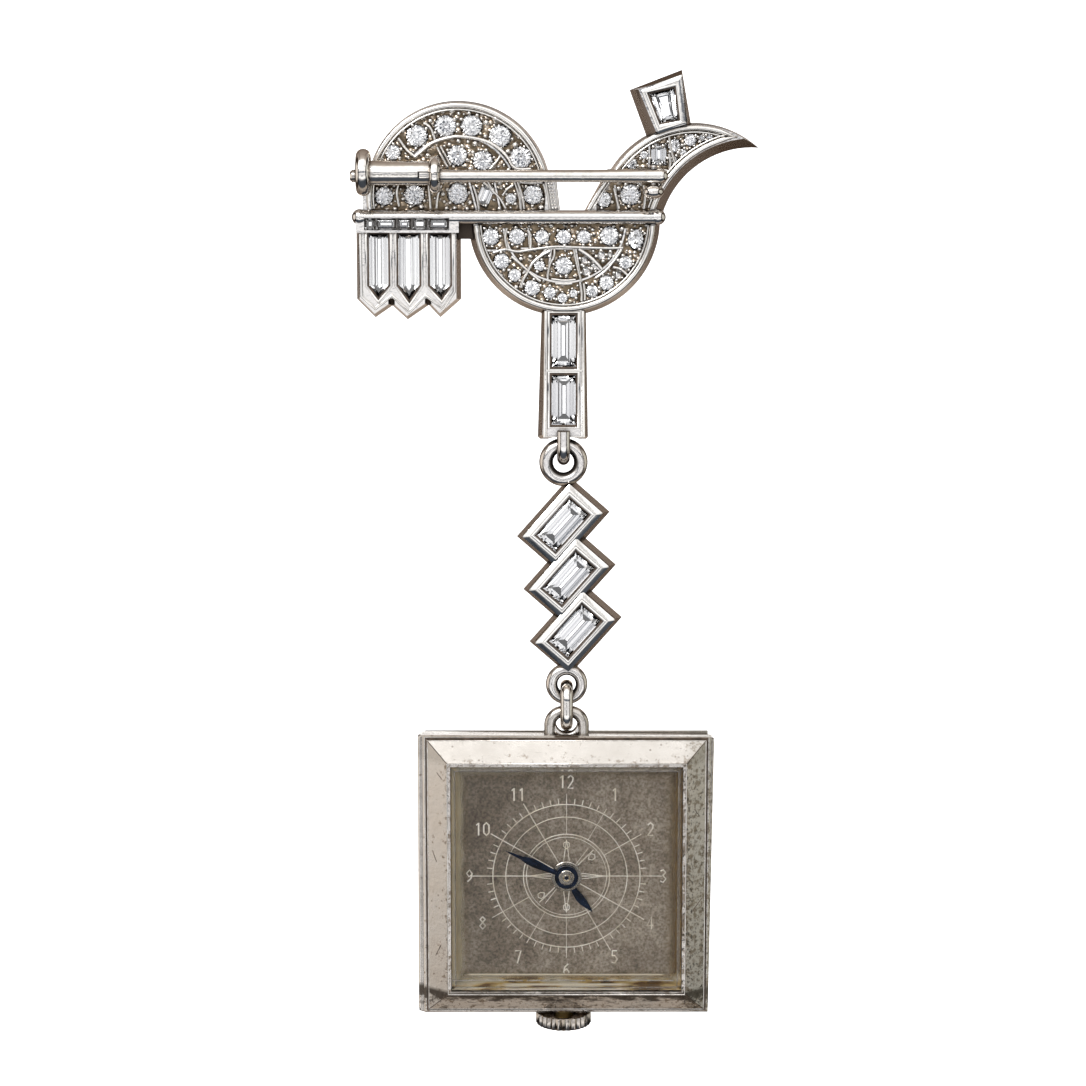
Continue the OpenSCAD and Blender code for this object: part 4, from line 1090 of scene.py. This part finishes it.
def set_dial():
    """Engraving of the dial: circles, minute strokes, rays and plain figures 1 to 12."""
    cx, cz = WATCH[0], WATCH[1] - 0.06
    y = 1.738
    parts = []

    def stroke(turn, points, w):
        """Ridge through (distance from the middle, sideways) points along a ray."""
        s, c = sin_cos(turn)
        parts.append(ribbon([(cx + r * s + d * c, cz + r * c - d * s) for r, d in points], w, y))
    for r, w in ((2.94, 0.05), (3.16, 0.07), (4.45, 0.06), (5.40, 0.07)):
        parts.append(ribbon([polar((cx, cz), r, t) for t in turns(96) + [0.0]], w, y))
    rays = [(6 * k, 5.46, 5.85, 0.07) for k in range(60)]
    rays += [(-30, 0.9, 6.3, 0.08), (-60, 0.9, 6.4, 0.08), (120, 0.9, 6.6, 0.08), (150, 0.9, 6.5, 0.07),
             (90, 0.9, 7.0, 0.07), (270, 0.9, 7.0, 0.07), (0, 3.2, 6.2, 0.04), (180, 3.2, 6.2, 0.04),
             (30, 3.2, 5.4, 0.04), (60, 3.2, 6.3, 0.05), (210, 3.2, 5.4, 0.04), (240, 3.2, 6.3, 0.05),
             (45, 1.2, 2.8, 0.09), (225, 1.2, 2.8, 0.09), (37, 1.2, 2.6, 0.05), (217, 1.2, 2.6, 0.05)]
    for turn, r0, r1, w in rays:
        stroke(turn, ((r0, 0.0), (r1, 0.0)), w)
    for turn in (0, 90, 180, 270):
        for side in (-0.22, 0.22):
            stroke(turn, ((1.0, side), (1.6, side * 0.7), (2.75, 0.0)), 0.06)
    for turn in (0, 180, 52, 232):
        stroke(turn, ((2.05, 0.0), (2.25, 0.2), (2.5, 0.2), (2.62, 0.0), (2.5, -0.2), (2.25, -0.2), (2.05, 0.0)), 0.07)
    tall, pitch = 0.95, 0.62
    for k in range(1, 13):
        word, a = str(k), radians(30 * k)
        left, foot = cx + 7.1 * sin(a) - len(word) * pitch * tall / 2, cz + 7.1 * cos(a) - tall / 2
        for i, digit in enumerate(word):
            line = [(left + (i * pitch + px) * tall, foot + pz * tall) for px, pz in FIGURES[digit]]
            parts.append(ribbon(line, 0.11, y))
    piece("dial_engraving", parts, engraving, "watch")
    piece("edge_cement", [band(square(16.86), square(14.6), 1.60, 1.60, 1.61)], cement, "watch")


def square(side):
    """Square outline round the middle of the watch."""
    return rect(WATCH, side, side)


def case_lines():
    """Dirt lines and bright arrises of the case and bezel, and bright wires that paint a highlight at the foot of the
    cement.
    """
    cx, cz = WATCH
    body = [(cx + x, cz + z) for x, z in ((-10.92, -10.60), (10.51, -10.55), (10.79, 10.17), (-10.88, 10.39))]
    dark = [band(square(20.62), square(20.32), 1.592, 1.592, 1.605),
            band(inset(body, 0.02), inset(body, 0.20), 2.30, 2.088, 2.4),
            band(square(17.24), square(16.92), 0.36, 0.40, 0.46)]
    for sx, sz in ((-1, -1), (-1, 1), (1, -1), (1, 1)):
        mitre = [(cx + 8.66 * sx, 0.205, cz + 8.66 * sz), (cx + 10.14 * sx, 1.345, cz + 10.14 * sz)]
        dark.append(wire(mitre, 0.03, 6))
    piece("case_grooves", dark, groove_dirt_and_shade, "watch")
    lip = [band(square(17.30), square(17.04), 0.195, 0.30, 0.4)]
    piece("bezel_lip", lip, dark_lip, "watch")
    bright = [wire(level(square(side), y), r, sides, closed=True)
              for side, y, r, sides in ((17.36, 0.215, 0.045, 8), (20.28, 1.36, 0.05, 8), (16.22, 0.262, 0.03, 6))]
    # painted highlight: three bright wires just in front of the cement's foot
    for x0, x1 in ((-8.1, -3.2), (-2.9, 1.4), (1.9, 7.9)):
        gleam = [(cx + x0, 1.55, cz - 7.95), (cx + (x0 + x1) / 2, 1.55, cz - 7.9), (cx + x1, 1.55, cz - 7.95)]
        bright.append(wire(gleam, 0.06, 6))
    piece("case_arrises_and_glints", bright, silvered, "watch", smooth=50)

    def on_slope(x, z):
        """A hair above the bezel's left or right slope, x and z from the middle."""
        return (cx + x, 0.2 + (abs(x) - 8.65) / 1.5 * 1.15 - 0.006, cz + z)
    scratches = [wire([on_slope(x0, z0), on_slope(x1, z1)], 0.022, 6) for x0, z0, x1, z1 in (
        (-9.45, 7.9, -9.05, 7.45), (9.1, -2.6, 9.95, -1.6), (-9.8, 2.0, -9.5, 1.2), (9.3, 5.2, 9.7, 4.6),
        (-9.2, -5.0, -9.6, -5.9))]
    piece("bezel_scratches", scratches, groove_dirt_and_shade, "watch")


def bow_foot():
    """Lower half of the bow's round, soldered down on the case."""
    foot = wire(arc((WATCH[0], -39.55), 1.05, 176, 364, 2.4, 24), 0.27, 12)
    piece("bow_foot", [foot], white_gold, "watch", smooth=50)


def crown_and_neck():
    """Fluted crown with a hollow top, and the gilt neck that shows in it."""
    cx, cy = 0.75, 2.4
    rng = random.Random(3)
    cut = [rng.uniform(0.09, 0.17) for _ in range(30)]

    def ring(r, z, depth):
        """Circle with 30 flutes of uneven depth, six points each."""
        out = []
        for i, a in enumerate(turns(180)):
            d = r - depth * cut[i // 6] * abs(cos(pi * ((i % 6) / 6))) ** 1.5
            out.append((cx + d * cos(a), cy + d * sin(a), z))
        return out
    rings = [ring(*row) for row in (
        (0.30, -62.38, 0), (1.75, -62.50, 0), (1.95, -62.46, 0.6), (2.05, -62.34, 1), (2.05, -61.70, 1),
        (2.0, -61.60, 0.7), (1.84, -61.58, 0), (1.75, -61.64, 0), (1.74, -62.08, 0), (0.30, -62.12, 0))]
    piece("fluted_crown", [rings_mesh(rings, closed=True)], crown_gold, "crown", ["crown"], smooth=35)
    rings = [[(cx + r * cos(t), cy + r * sin(t), z) for t in turns(40)]
             for r, z in ((0.45, -61.42), (0.74, -61.42), (0.74, -61.86), (0.68, -61.92), (0.45, -61.92))]
    piece("gilt_neck", [rings_mesh(rings, closed=True)], gilt_brass, "watch", smooth=35)


set_stones()
set_rims_and_wires()
setting_edges()
seat_lines()
set_grains()
catch_and_hinge()
set_hands()
set_dial()
case_lines()
bow_foot()
crown_and_neck()

FINISH = {
    "frame link": platinum, "connector pin_stem catch_sleeve": white_gold, "case bezel case_back crown": case_gold,
    "crystal": glass, "dial": dial_face, "movement": gilt_brass, "minute_hand hour_hand": blue_steel,
    "crown_stem": steel,
}
for names, material in FINISH.items():
    for name in names.split():
        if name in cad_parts:
            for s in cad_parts[name].material_slots:
                s.material = material
